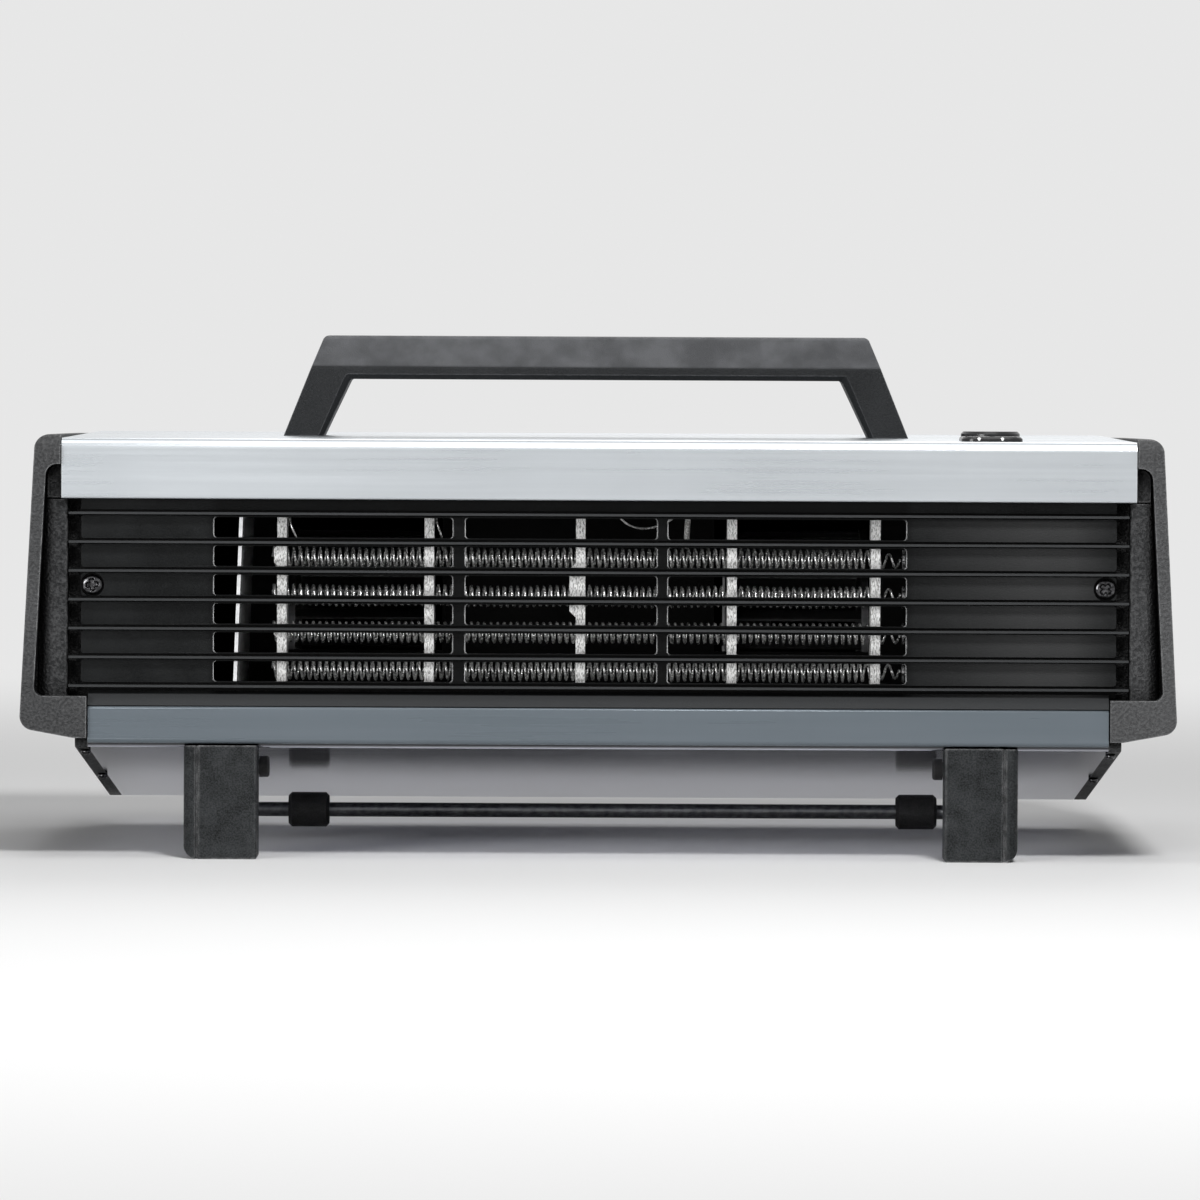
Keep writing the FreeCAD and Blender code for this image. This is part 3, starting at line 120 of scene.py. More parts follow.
def noise(tree, vector, scale, detail, **more):
    """Noise between 0 and 1 over a vector, with its other inputs by name."""
    inputs = {"Vector": vector, "Scale": scale, "Detail": detail, **more}
    return add_node(tree, "ShaderNodeTexNoise", inputs).outputs["Fac"]


def relief(tree, shader, height, strength, distance):
    """Bump of a strength and a depth in metres on a shader, from a height socket."""
    bump = add_node(tree, "ShaderNodeBump", {"Strength": strength, "Distance": distance, "Height": height})
    tree.links.new(bump.outputs[0], shader.inputs["Normal"])


# Fine lines that rolling or brushing leaves along a sheet: noise drawn out along X
rolled_lines, given, result = new_effect("rolled_lines", {"Across": 1500.0, "Along": 6.0}, ["Line", "Cloud"])
stretch = add_node(rolled_lines, "ShaderNodeCombineXYZ",
                   {"X": given["Along"], "Y": given["Across"], "Z": given["Across"]})
drawn_out = add_node(rolled_lines, "ShaderNodeVectorMath",
                     {0: object_place(rolled_lines), 1: stretch.outputs[0]}, operation="MULTIPLY")
streak = noise(rolled_lines, drawn_out.outputs[0], 1.0, 3.0, Roughness=0.6)
rolled_lines.links.new(streak, result["Line"])
rolled_lines.links.new(noise(rolled_lines, object_place(rolled_lines), 14.0, 3.0), result["Cloud"])

# Pale edges, for wear and for painted highlights: where the normal of a rounded copy of the edge turns away
# from the face's own
ROUNDED_AWAY = (0.995, 0.80)
EDGE_PATCH_RANGE = (0.42, 0.62)
edge_wear_and_highlight, given, result = new_effect("edge_wear_and_highlight", {"Width": 0.0010, "Least": 0.12}, ["Edge"])
rounded = add_node(edge_wear_and_highlight, "ShaderNodeBevel", {"Radius": given["Width"]}, samples=4)
facing = add_node(edge_wear_and_highlight, "ShaderNodeVectorMath", {0: rounded.outputs[0], 1: face_normal(edge_wear_and_highlight)},
                  operation="DOT_PRODUCT")
edge_patch = noise(edge_wear_and_highlight, object_place(edge_wear_and_highlight), 330.0, 4.0, Roughness=0.7)
edge_wear_and_highlight.links.new(times(edge_wear_and_highlight, spread(edge_wear_and_highlight, facing.outputs["Value"], ROUNDED_AWAY),
                            spread(edge_wear_and_highlight, edge_patch, EDGE_PATCH_RANGE, (given["Least"], 1.0))),
                      result["Edge"])


def new_finish(name, constants):
    """Material with one Principled shader, its plain values set on its sockets: material, tree, shader."""
    finish = bpy.data.materials.new(name)
    finish.use_nodes = True
    shader = finish.node_tree.nodes["Principled BSDF"]
    for socket, value in constants.items():
        shader.inputs[socket].default_value = value
    return finish, finish.node_tree, shader


LINE_SHARE, CLOUD_SHARE = 0.6, 0.4
TONE_RANGE = (0.35, 0.65)
ROUGH_RANGE = (0.3, 0.7)
BARE_EDGE = {"Width": 0.0007, "Least": 0.6}
LINE_STRENGTH, LINE_DEPTH = 0.12, 0.00005


def sheet_finish(name, dull, bright, edge, rough, across, constants):
    """Rolled sheet: lines between a dull and a bright tone, bare edges of a third, a roughness that follows
    the lines and a faint relief."""
    finish, tree, shader = new_finish(name, constants)
    lines = place_effect(tree, rolled_lines, {"Across": across})
    bare = place_effect(tree, edge_wear_and_highlight, BARE_EDGE)["Edge"]
    patch = math_node(tree, "ADD", times(tree, lines["Line"], LINE_SHARE),
                      times(tree, lines["Cloud"], CLOUD_SHARE))
    face = between(tree, spread(tree, patch, TONE_RANGE), dull, bright)
    tree.links.new(between(tree, bare, face, edge), shader.inputs["Base Color"])
    tree.links.new(spread(tree, patch, ROUGH_RANGE, rough), shader.inputs["Roughness"])
    relief(tree, shader, lines["Line"], LINE_STRENGTH, LINE_DEPTH)
    return finish


def dress(finish, *names):
    """Gives solids their finish."""
    for name in names:
        node[name].material_slots[0].material = finish


def soften(width, *names):
    """Breaks the sharp edges of solids by a small width, as folding or moulding leaves them."""
    for name in names:
        weld = node[name].modifiers.new("weld", "WELD")
        weld.merge_threshold = 0.00001
        edge = node[name].modifiers.new("edge", "BEVEL")
        edge.width = width
        edge.segments = 2
        edge.limit_method = "ANGLE"
        edge.angle_limit = math.radians(35)
        edge.use_clamp_overlap = True
        edge.harden_normals = True


PAN_FRONT_SHADE = (0.06, 0.061, 0.065)
FRONT_TO_SIDE = (-0.9, -0.4)
pan_sheet = sheet_finish("satin_pan_steel", dull=(0.74, 0.75, 0.83), bright=(0.82, 0.83, 0.91),
                         edge=(0.82, 0.83, 0.90), rough=(0.08, 0.14), across=900.0,
                         constants={"Metallic": 1.0})
tree = pan_sheet.node_tree
base = tree.nodes["Principled BSDF"].inputs["Base Color"]
# Painted shade: faces that turn to the front go dark.
front_shade_share = spread(tree, parts_of(tree, face_normal(tree))["Y"], FRONT_TO_SIDE, (1.0, 0.0))
tree.links.new(between(tree, front_shade_share, base.links[0].from_socket, PAN_FRONT_SHADE), base)
dress(pan_sheet, "bottom_pan")


# Duct: folded sheet round the heating element. The inner sheets have a black coat that stands the heat, made
# near black as painted shade for the dark inside of the duct, and the two side plates are bare zinc, so that
# one bright edge shows through the grille.
zinc_sheet = sheet_finish("zinc_plate", dull=(0.66, 0.67, 0.68), bright=(0.86, 0.87, 0.88),
                          edge=(0.92, 0.92, 0.93), rough=(0.28, 0.42), across=160.0,
                          constants={"Metallic": 0.8})
dress(zinc_sheet, "duct_left_plate", "duct_right_plate")
# Near-black coat, which also stands in for the shade inside the duct.
black_coat_and_shade_sheet = sheet_finish("black_duct_coat_and_shade", dull=(0.002, 0.002, 0.002), bright=(0.005, 0.005, 0.005),
                           edge=(0.02, 0.02, 0.02), rough=(0.6, 0.75), across=240.0,
                           constants={"Metallic": 0.0, "Specular IOR Level": 0.1})
dress(black_coat_and_shade_sheet, "duct_top_plate", "duct_bottom_plate", "duct_bulkhead")


# Mica posts: five pressed mica boards that stand between two rails and carry the coils.
# The board is pale and speckled with dark flakes, and its cut edge faces the grille.
FLAKE_SCALE = (2200.0, 2200.0, 800.0)
DARK_FLAKE, PALE_BOARD = (0.24, 0.24, 0.235), (0.96, 0.96, 0.95)
FLAKE_RANGE = (0.36, 0.54)
mica_board, tree, shader = new_finish("mica_board", {"Specular IOR Level": 0.3})
drawn_up = add_node(tree, "ShaderNodeVectorMath", {0: object_place(tree), 1: FLAKE_SCALE},
                    operation="MULTIPLY")
speckle = noise(tree, drawn_up.outputs[0], 1.0, 3.0, Roughness=0.7)
tree.links.new(between(tree, spread(tree, speckle, FLAKE_RANGE), DARK_FLAKE, PALE_BOARD),
               shader.inputs["Base Color"])
tree.links.new(spread(tree, speckle, ROUGH_RANGE, (0.7, 0.35)), shader.inputs["Roughness"])
relief(tree, shader, speckle, 0.4, 0.0002)
dress(mica_board, "mica_posts")
dress(zinc_sheet, "element_rails")


# Heating coils: four rows of resistance wire, close wound on a mandrel and drawn out to an even pitch, then
# strung through the posts. Past the last post each wire runs out in a few loose turns to its terminal.
COIL_PITCH = 0.0023
LOOSE_PITCH = 0.0052
LOOSE_LENGTH = 0.0075
LOOSE_FROM_END = 1.9 * LOOSE_LENGTH
LOOSE_SHRINK = 0.35
COIL_STEPS = 18
WIRE_RADIUS = 0.00045
POST_X = np.array([-0.1105, -0.0592, -0.0064, 0.0464, 0.0965])
ROW_SAG = {1: 0.0006, 2: -0.0004, 3: 0.0009, 4: 0.0002}
ROW_HANG = {1: 0.0003, 2: 0.0005, 3: 0.0001, 4: 0.0003}
ACROSS_WIRES = (0.38, 0.11, 0.92)
DULL_WIRE, CLEAN_WIRE, WIRE_TOP_HIGHLIGHT = (0.36, 0.36, 0.355), (0.85, 0.85, 0.84), (0.95, 0.95, 0.94)


def skin(name, shells):
    """Closed mesh over arrays of rings (station, point round, xyz): each ring joins the next, ends capped."""
    points, faces, start = [], [], 0
    for rings in shells:
        stations, around = rings.shape[:2]
        index = start + np.arange(stations * around).reshape(stations, around)
        beside = np.roll(index, -1, axis=1)
        quads = np.stack([index[:-1], beside[:-1], beside[1:], index[1:]], axis=-1).reshape(-1, 4)
        points.append(rings.reshape(-1, 3))
        faces += quads.tolist() + [index[0, ::-1].tolist(), index[-1].tolist()]
        start += stations * around
    mesh = bpy.data.meshes.new(name)
    mesh.from_pydata(np.concatenate(points).tolist(), [], faces)
    mesh.polygons.foreach_set("use_smooth", np.ones(len(mesh.polygons), bool))
    mesh.update()
    piece = bpy.data.objects.new(name, mesh)
    bpy.context.scene.collection.objects.link(piece)
    return piece


def round_wire(path, radius, sides=8):
    """Wire along a path: at each point a circle of the wire's radius stands square to the path's direction,
    turned from a slant that no wire here follows."""
    along = np.gradient(path, axis=0)
    along /= np.linalg.norm(along, axis=1, keepdims=True)
    side = np.cross(along, ACROSS_WIRES)
    side /= np.linalg.norm(side, axis=1, keepdims=True)
    up = np.cross(along, side)
    turn = np.linspace(0.0, 2 * math.pi, sides, endpoint=False)[None, :, None]
    return path[:, None] + radius * (np.cos(turn) * side[:, None] + np.sin(turn) * up[:, None])


def coil_path(low, high, sag, hang):
    """Helix along X whose pitch grows and whose radius shrinks over the loose end: each step turns by a fixed
    angle and moves on by its share of the pitch there, the loose turns sink by the given sag, and between
    two posts the axis hangs by a squared sine."""
    middle = (low + high) / 2
    radius = (high[2] - low[2]) / 2 - WIRE_RADIUS
    steps = int((high[0] - low[0]) / COIL_PITCH * COIL_STEPS)
    turn = 2 * math.pi / COIL_STEPS * np.arange(steps)
    even = low[0] + WIRE_RADIUS + COIL_PITCH / COIL_STEPS * np.arange(steps)
    loose = np.clip((even - high[0] + LOOSE_FROM_END) / LOOSE_LENGTH, 0.0, 1.0)
    x = low[0] + WIRE_RADIUS + np.cumsum(COIL_PITCH + (LOOSE_PITCH - COIL_PITCH) * loose) / COIL_STEPS
    kept = x < high[0] - WIRE_RADIUS
    x, turn, loose = x[kept], turn[kept], loose[kept]
    reach = radius * (1.0 - LOOSE_SHRINK * loose)
    span = np.interp(x, POST_X, np.arange(len(POST_X)))
    axis_z = middle[2] - sag * loose - hang * np.sin(math.pi * span) ** 2
    return np.stack([x, middle[1] + reach * np.cos(turn), axis_z + reach * np.sin(turn)], axis=-1)


# Pale tops: what faces upwards goes pale, more the flatter it lies; it is dust and bleaching on some pieces
# and painted light from above on the handle and the coils
STEEP_TO_FLAT = (0.25, 0.7)
DRIFT_RANGE, DRIFT_SHARE = (0.35, 0.62), (0.55, 1.0)
top_dust_and_light, given, result = new_effect("top_dust_and_light", {"Amount": 0.5}, ["Top"])
upward = parts_of(top_dust_and_light, face_normal(top_dust_and_light))["Z"]
drift = noise(top_dust_and_light, object_place(top_dust_and_light), 90.0, 5.0)
top_dust_and_light.links.new(times(top_dust_and_light, spread(top_dust_and_light, upward, STEEP_TO_FLAT),
                         spread(top_dust_and_light, drift, DRIFT_RANGE, DRIFT_SHARE), given["Amount"]),
                   result["Top"])

# Painted highlight: the tops of the turns go pale, as if lit from above.
coil_wire, tree, shader = new_finish("resistance_wire", {"Metallic": 0.9, "Specular IOR Level": 0.5})
scale_tint = noise(tree, object_place(tree), 900.0, 2.0)
painted_top_highlight = place_effect(tree, top_dust_and_light, {"Amount": 1.0})["Top"]
scale_tone = between(tree, spread(tree, scale_tint, TONE_RANGE), DULL_WIRE, CLEAN_WIRE)
tree.links.new(between(tree, painted_top_highlight, scale_tone, WIRE_TOP_HIGHLIGHT), shader.inputs["Base Color"])
tree.links.new(spread(tree, scale_tint, ROUGH_RANGE, (0.22, 0.32)), shader.inputs["Roughness"])
for row, sag in ROW_SAG.items():
    low, high = (np.array(corner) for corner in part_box(f"heating_coil_{row}"))
    coil = skin(f"coil_row_{row}", [round_wire(coil_path(low, high, sag, ROW_HANG[row]), WIRE_RADIUS)])
    coil.data.materials.append(coil_wire)
    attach(coil, "case")
    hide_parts(f"heating_coil_{row}")


# Element leads: bare wire ends bent by hand over the top row, and one lead in a woven glass sleeve that
# hangs from the duct's top behind the first coil.
LEAD_RADIUS = 0.0004
SLEEVE_RADIUS = 0.0010
SLEEVE_SIDES = 16
WIRE_LEADS = [
    [(0.005, -0.0955, 0.1222), (0.010, -0.0965, 0.1122), (0.020, -0.0965, 0.1130),
     (0.031, -0.0865, 0.1222)],
    [(-0.1078, -0.0975, 0.1205), (-0.1084, -0.1000, 0.1145), (-0.1050, -0.1000, 0.1125),
     (-0.1045, -0.0955, 0.1072)],
    [(-0.0567, -0.0975, 0.1205), (-0.0572, -0.1000, 0.1150), (-0.0540, -0.0995, 0.1130),
     (-0.0545, -0.0955, 0.1072)],
    [(0.031, -0.0865, 0.1085), (0.031, -0.0865, 0.1070), (0.0312, -0.0880, 0.1060),
     (0.0314, -0.0896, 0.1050)],
]
SLEEVED_LEAD = [(0.031, -0.0865, 0.1234), (0.0316, -0.0865, 0.118), (0.0302, -0.0865, 0.113),
                (0.031, -0.0865, 0.108)]
PALE_STRAND, DARK_GAP = (0.82, 0.82, 0.80), (0.30, 0.30, 0.29)


def bent_lead(bends, steps=40):
    """Cubic curve from the first bend to the last, drawn towards the two between: the sum of the four points,
    each weighted by its Bernstein term."""
    t = np.linspace(0.0, 1.0, steps)[:, None]
    a, b, c, d = (np.array(bend) for bend in bends)
    return (1 - t) ** 3 * a + 3 * (1 - t) ** 2 * t * b + 3 * (1 - t) * t ** 2 * c + t ** 3 * d


lead_wires = skin("element_leads", [round_wire(bent_lead(bends), LEAD_RADIUS) for bends in WIRE_LEADS])
lead_wires.data.materials.append(coil_wire)
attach(lead_wires, "case")

glass_sleeve, tree, shader = new_finish("woven_glass_sleeve", {"Specular IOR Level": 0.3})
woven = add_node(tree, "ShaderNodeTexVoronoi", {"Vector": object_place(tree), "Scale": 1900.0})
strand = woven.outputs["Distance"]
tree.links.new(between(tree, spread(tree, strand, (0.1, 0.6)), PALE_STRAND, DARK_GAP),
               shader.inputs["Base Color"])
tree.links.new(spread(tree, strand, (0.0, 0.6), (0.5, 0.8)), shader.inputs["Roughness"])
relief(tree, shader, strand, 0.6, 0.0002)
lead_sleeve = skin("lead_sleeve", [round_wire(bent_lead(SLEEVED_LEAD), SLEEVE_RADIUS, SLEEVE_SIDES)])
lead_sleeve.data.materials.append(glass_sleeve)
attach(lead_sleeve, "case")


# Bearings and cut-out: small turned brass pieces with a dull, slightly stained skin.
# The bearings sit in the motor's end shields, and the cut-out is fixed over the element.
def stained_finish(name, dull, bright, rough, scale, constants):
    """Plain metal or moulding with soft stains: two tones and two roughnesses mixed by noise of one scale."""
    finish, tree, shader = new_finish(name, constants)
    share = spread(tree, noise(tree, object_place(tree), scale, 4.0), TONE_RANGE)
    tree.links.new(between(tree, share, dull, bright), shader.inputs["Base Color"])
    tree.links.new(spread(tree, share, (0.0, 1.0), rough), shader.inputs["Roughness"])
    return finish


turned_brass = stained_finish("turned_brass", dull=(0.42, 0.29, 0.12), bright=(0.72, 0.54, 0.26),
                              rough=(0.24, 0.4), scale=220.0, constants={"Metallic": 1.0})
dress(turned_brass, "motor_bearings", "thermal_cutout")


# Motor and blowers: a laminated motor with a shaft at each end, two bladed wheels in two sheet housings.
# They are seen only between the slots of the rear grille, with the pale moulded bodies of the controls.
laminated = stained_finish("laminated_steel", dull=(0.16, 0.16, 0.17), bright=(0.30, 0.30, 0.31),
                           rough=(0.4, 0.6), scale=700.0, constants={"Metallic": 0.9})
dress(laminated, "motor_stator", "motor_rotor")
copper = stained_finish("enamelled_copper", dull=(0.30, 0.10, 0.04), bright=(0.56, 0.22, 0.09),
                        rough=(0.25, 0.4), scale=900.0, constants={"Metallic": 0.8})
dress(copper, "motor_winding")
ground_steel = sheet_finish("ground_shaft_steel", dull=(0.50, 0.50, 0.51), bright=(0.66, 0.66, 0.67),
                            edge=(0.7, 0.7, 0.71), rough=(0.18, 0.3), across=500.0,
                            constants={"Metallic": 1.0})
dress(ground_steel, "motor_shaft", "thermostat_spindle", "element_terminals")
# Painted shade: the blower housings take the same near-black coat.
dress(black_coat_and_shade_sheet, "left_blower_housing", "right_blower_housing")
dress(zinc_sheet, "motor_cradle", "left_motor_shield", "right_motor_shield")
wheel_sheet = sheet_finish("wheel_aluminium", dull=(0.16, 0.16, 0.165), bright=(0.30, 0.30, 0.31),
                           edge=(0.40, 0.40, 0.41), rough=(0.4, 0.55), across=300.0,
                           constants={"Metallic": 1.0})
dress(wheel_sheet, "left_fan_wheel", "right_fan_wheel")
pale_moulding = stained_finish("pale_moulding", dull=(0.46, 0.44, 0.39), bright=(0.58, 0.56, 0.51),
                               rough=(0.4, 0.55), scale=260.0, constants={"Specular IOR Level": 0.4})
dress(pale_moulding, "switch_body", "thermostat_body", "terminal_block")


# End caps: two hollow black mouldings with a pebbled grain, each with a rim round a deep channel.
# They clamp the ends of the pan, the grilles and the cover. Their edges and the fronts of the rims are
# painted pale, as wear and as highlights, and the hollows are painted near black as shade.
PEBBLE_RANGE = (0.36, 0.64)
CLOUD_RANGE = (0.32, 0.68)
PEBBLE_SHARE, BLOTCH_SHARE = 0.5, 0.5
GRAIN_STRENGTH = 0.6
moulded_grain, given, result = new_effect("moulded_grain", {"Scale": 1500.0, "Blotch": 60.0},
                                          ["Pebble", "Cloud"])
place = object_place(moulded_grain)
fine = noise(moulded_grain, place, given["Scale"], 2.0, Roughness=0.55)
cloud = noise(moulded_grain, place, given["Blotch"], 5.0, Roughness=0.6, Distortion=0.6)
moulded_grain.links.new(spread(moulded_grain, fine, PEBBLE_RANGE), result["Pebble"])
moulded_grain.links.new(spread(moulded_grain, cloud, CLOUD_RANGE), result["Cloud"])


def moulded_finish(name, dark, light, edge, edge_wear_and_light, rough, grain, depth, blotch, bleach_and_top_light, constants):
    """Moulded plastic: a pebbled grain of one scale and depth, blotched between two tones and paled on top by
    a share of the way to its edge tone, which is bleaching and dust on some pieces and painted light from
    above on others. Its edges take that tone too, over the width and with the least share given, as wear and
    as painted highlights: material, tree, shader and the socket of the whole colour."""
    finish, tree, shader = new_finish(name, constants)
    grained = place_effect(tree, moulded_grain, {"Scale": grain, "Blotch": blotch})
    edge_share = place_effect(tree, edge_wear_and_highlight, {"Width": edge_wear_and_light[0], "Least": edge_wear_and_light[1]})["Edge"]
    pale = place_effect(tree, top_dust_and_light, {"Amount": bleach_and_top_light})["Top"]
    tone = math_node(tree, "ADD", times(tree, grained["Pebble"], PEBBLE_SHARE),
                     times(tree, grained["Cloud"], BLOTCH_SHARE))
    body = between(tree, pale, between(tree, tone, dark, light), edge)
    colour = between(tree, edge_share, body, edge)
    tree.links.new(colour, shader.inputs["Base Color"])
    tree.links.new(spread(tree, tone, (0.0, 1.0), (rough[1], rough[0])), shader.inputs["Roughness"])
    relief(tree, shader, grained["Pebble"], GRAIN_STRENGTH, depth)
    return finish, tree, shader, colour


CAP_EDGE_WEAR_AND_LIGHT = (0.24, 0.242, 0.246)
CAP_HOLLOW_SHADE = (0.0012, 0.0012, 0.0013)
RIM_DEPTH, RIM_PALE_SHARE = (0.1180, 0.1196), (0.0, 0.09)
HOLLOW_REACH, HOLLOW_RANGE = 0.010, (0.35, 0.9)
grained_black, tree, shader, colour = moulded_finish(
    "grained_black", dark=(0.004, 0.0044, 0.005), light=(0.072, 0.073, 0.075), edge=CAP_EDGE_WEAR_AND_LIGHT,
    edge_wear_and_light=(0.0009, 0.25), rough=(0.36, 0.6), grain=1000.0, depth=0.0006, blotch=15.0, bleach_and_top_light=0.15,
    constants={"Specular IOR Level": 0.14})
# The front of the rim is painted paler, as wear and as a highlight.
off_centre_y = math_node(tree, "ABSOLUTE", parts_of(tree, object_place(tree))["Y"])
colour = between(tree, spread(tree, off_centre_y, RIM_DEPTH, RIM_PALE_SHARE), colour, CAP_EDGE_WEAR_AND_LIGHT)
# Painted shade: ambient occlusion turns the hollows near black.
hollow_shade_ao = add_node(tree, "ShaderNodeAmbientOcclusion", {"Distance": HOLLOW_REACH}, samples=8).outputs["AO"]
tree.links.new(between(tree, spread(tree, hollow_shade_ao, HOLLOW_RANGE), CAP_HOLLOW_SHADE, colour),
               shader.inputs["Base Color"])
dress(grained_black, "left_end_cap", "right_end_cap")
soften(0.0005, "left_end_cap", "right_end_cap")


# Front feet: two black mouldings, screwed under the pan and open at the rear, blotched by wear.
# The stubs of the bail turn in their inner cheeks.
# Their edges are painted pale, as wear and as highlights on the rounded corners.
foot_black, *_ = moulded_finish(
    "blotched_black", dark=(0.002, 0.0024, 0.0027), light=(0.038, 0.041, 0.043), edge=(0.21, 0.212, 0.216),
    edge_wear_and_light=(0.0012, 0.3), rough=(0.34, 0.55), grain=1700.0, depth=0.00020, blotch=110.0, bleach_and_top_light=0.2,
    constants={"Specular IOR Level": 0.1})
dress(foot_black, "left_front_foot", "right_front_foot")
soften(0.0006, "left_front_foot", "right_front_foot")


# Rear feet, sleeves, end caps of the bail and cord bush: black rubber with a dusty bloom.
# The feet are screwed to the pan, the sleeves are pushed onto the wire, and the bush fills the cord's hole.
soft_rubber, *_ = moulded_finish(
    "black_rubber", dark=(0.004, 0.004, 0.0044), light=(0.024, 0.024, 0.025), edge=(0.040, 0.040, 0.041),
    edge_wear_and_light=(0.0010, 0.12), rough=(0.45, 0.65), grain=2600.0, depth=0.00008, blotch=150.0, bleach_and_top_light=0.3,
    constants={"Specular IOR Level": 0.25})
dress(soft_rubber, "rear_feet", "bail_sleeves", "bail_caps", "cord_bush")


# Bail: one steel wire bent into a loop, its stubs turned into the feet.
# The plating has gone dull.
bail_steel = stained_finish("dull_plated_wire", dull=(0.09, 0.092, 0.096), bright=(0.15, 0.153, 0.158),
                            rough=(0.28, 0.38), scale=420.0, constants={"Metallic": 0.9})
dress(bail_steel, "bail_wire")


# Grilles: satin black mouldings, thin ribs in front of panels that stand clear of them, with rounded windows.
# The front one has three columns of windows and blank ends, the rear one eight columns of slots. Shade is
# painted near black into their grooves and over the window area, and their rib fronts and upright edges carry
# painted highlights.
WINDOW_SHIFT = 0.0134
WINDOWS_END, WINDOW_AREA_KEPT = (0.119, 0.123), (0.35, 1.0)
GROOVE_TO_PANEL = (0.1111, 0.1120)
PANEL_TO_RIB = (0.1136, 0.1141)
WINDOW_EDGE_DEPTH = (0.1116, 0.1121)
WINDOW_EDGE_END = (0.123, 0.127)
FLAT_TO_UPRIGHT = (0.15, 0.5)
PALE_FROM = (0.104, 0.150)
PALE_FADE, PALE_SHARE = (0.165, 0.178), (0.85, 0.2)
PALE_BELOW = (0.1180, 0.1190)
RIGHT_PANEL_PALE = (0.040, 0.0405, 0.041)
GROOVE_SHADE = (0.0008, 0.0008, 0.0008)
RIB_FRONT_HIGHLIGHT = (0.038, 0.0395, 0.041)
UPRIGHT_EDGE_HIGHLIGHT = (0.55, 0.555, 0.56)
EDGE_ROUND = 0.0007
satin_black, tree, shader, colour = moulded_finish(
    "satin_black", dark=(0.0025, 0.0027, 0.0029), light=(0.0170, 0.0180, 0.0185), edge=(0.03, 0.031, 0.032),
    edge_wear_and_light=(0.0003, 0.6), rough=(0.24, 0.36), grain=3800.0, depth=0.00004, blotch=38.0, bleach_and_top_light=0.06,
    constants={"Specular IOR Level": 0.06})
place = parts_of(tree, object_place(tree))
depth_in = math_node(tree, "ABSOLUTE", place["Y"])
off_middle = math_node(tree, "ABSOLUTE", math_node(tree, "ADD", place["X"], WINDOW_SHIFT))
# The right-hand panels are made paler towards the right, fading out near the top.
paler_right = times(tree, spread(tree, place["X"], PALE_FROM),
              times(tree, spread(tree, place["X"], PALE_FADE, PALE_SHARE),
                    spread(tree, place["Z"], PALE_BELOW, (1.0, 0.0))))
colour = between(tree, paler_right, colour, RIGHT_PANEL_PALE)
# Painted shade: the grooves behind the panels go near black, and the window area keeps only about a third of
# its own colour.
unshaded_share = times(tree, spread(tree, depth_in, GROOVE_TO_PANEL),
              spread(tree, off_middle, WINDOWS_END, WINDOW_AREA_KEPT))
groove_shaded = between(tree, unshaded_share, GROOVE_SHADE, colour)
# Painted highlight: the fronts of the ribs are made lighter.
rib_fronts_lit = between(tree, spread(tree, depth_in, PANEL_TO_RIB), groove_shaded, RIB_FRONT_HIGHLIGHT)
# Painted highlight: the upright edges round the windows, which face sideways, go pale.
rounded = add_node(tree, "ShaderNodeBevel", {"Radius": EDGE_ROUND}, samples=4).outputs[0]
sideways = math_node(tree, "ABSOLUTE", parts_of(tree, rounded)["X"])
upright_edge_highlight = times(tree, spread(tree, sideways, FLAT_TO_UPRIGHT),
               times(tree, spread(tree, depth_in, WINDOW_EDGE_DEPTH),
                     spread(tree, off_middle, WINDOW_EDGE_END, (1.0, 0.0))))
tree.links.new(between(tree, upright_edge_highlight, rib_fronts_lit, UPRIGHT_EDGE_HIGHLIGHT), shader.inputs["Base Color"])
dress(satin_black, "front_grille", "rear_grille")
soften(0.0003, "front_grille", "rear_grille")


# Lower trim: a folded strip with a blue-grey satin lacquer, clipped over the front edge of the pan.
# Its fold below the grille catches the light and its lip lies in shade.
trim_sheet = sheet_finish("blue_grey_lacquer", dull=(0.104, 0.125, 0.142), bright=(0.116, 0.136, 0.155),
                          edge=(0.26, 0.29, 0.32), rough=(0.24, 0.34), across=320.0,
                          constants={"Metallic": 0.25, "Specular IOR Level": 0.25})
dress(trim_sheet, "lower_trim")
soften(0.0003, "lower_trim")


# Top cover: one silver sheet folded down over the front and rear, brushed along its length.
# It sits between the end caps and is screwed down at the rear.
cover_sheet = sheet_finish("brushed_silver", dull=(0.51, 0.54, 0.565), bright=(0.55, 0.58, 0.605),
                           edge=(0.74, 0.76, 0.77), rough=(0.25, 0.33), across=600.0,
                           constants={"Metallic": 0.9})
dress(cover_sheet, "top_cover")


# Controls: a bezel with two rocker keys and a flat thermostat knob, moulded in glossy black.
# The bezel is set into the cover, and the knob is pushed onto the thermostat's spindle.
key_black, *_ = moulded_finish(
    "key_black", dark=(0.005, 0.005, 0.0055), light=(0.009, 0.009, 0.0095), edge=(0.035, 0.035, 0.036),
    edge_wear_and_light=(0.0006, 0.12), rough=(0.14, 0.24), grain=3000.0, depth=0.00002, blotch=80.0, bleach_and_top_light=0.0,
    constants={"Specular IOR Level": 0.4})
dress(key_black, "switch_bezel", "left_rocker", "right_rocker", "thermostat_knob")
soften(0.0003, "left_rocker", "right_rocker")


# Marker pips: two small white studs pressed into the front of the bezel, one for each key.
# They are moulded plastic, rounded and half sunk.
PIP_X = (0.1319, 0.1400)
PIP_Z = 0.1468
PIP_SINK = 0.0003
PIP_RADIUS = 0.00075
PIP_POLE = 0.04
PIP_FLATTEN = -0.5


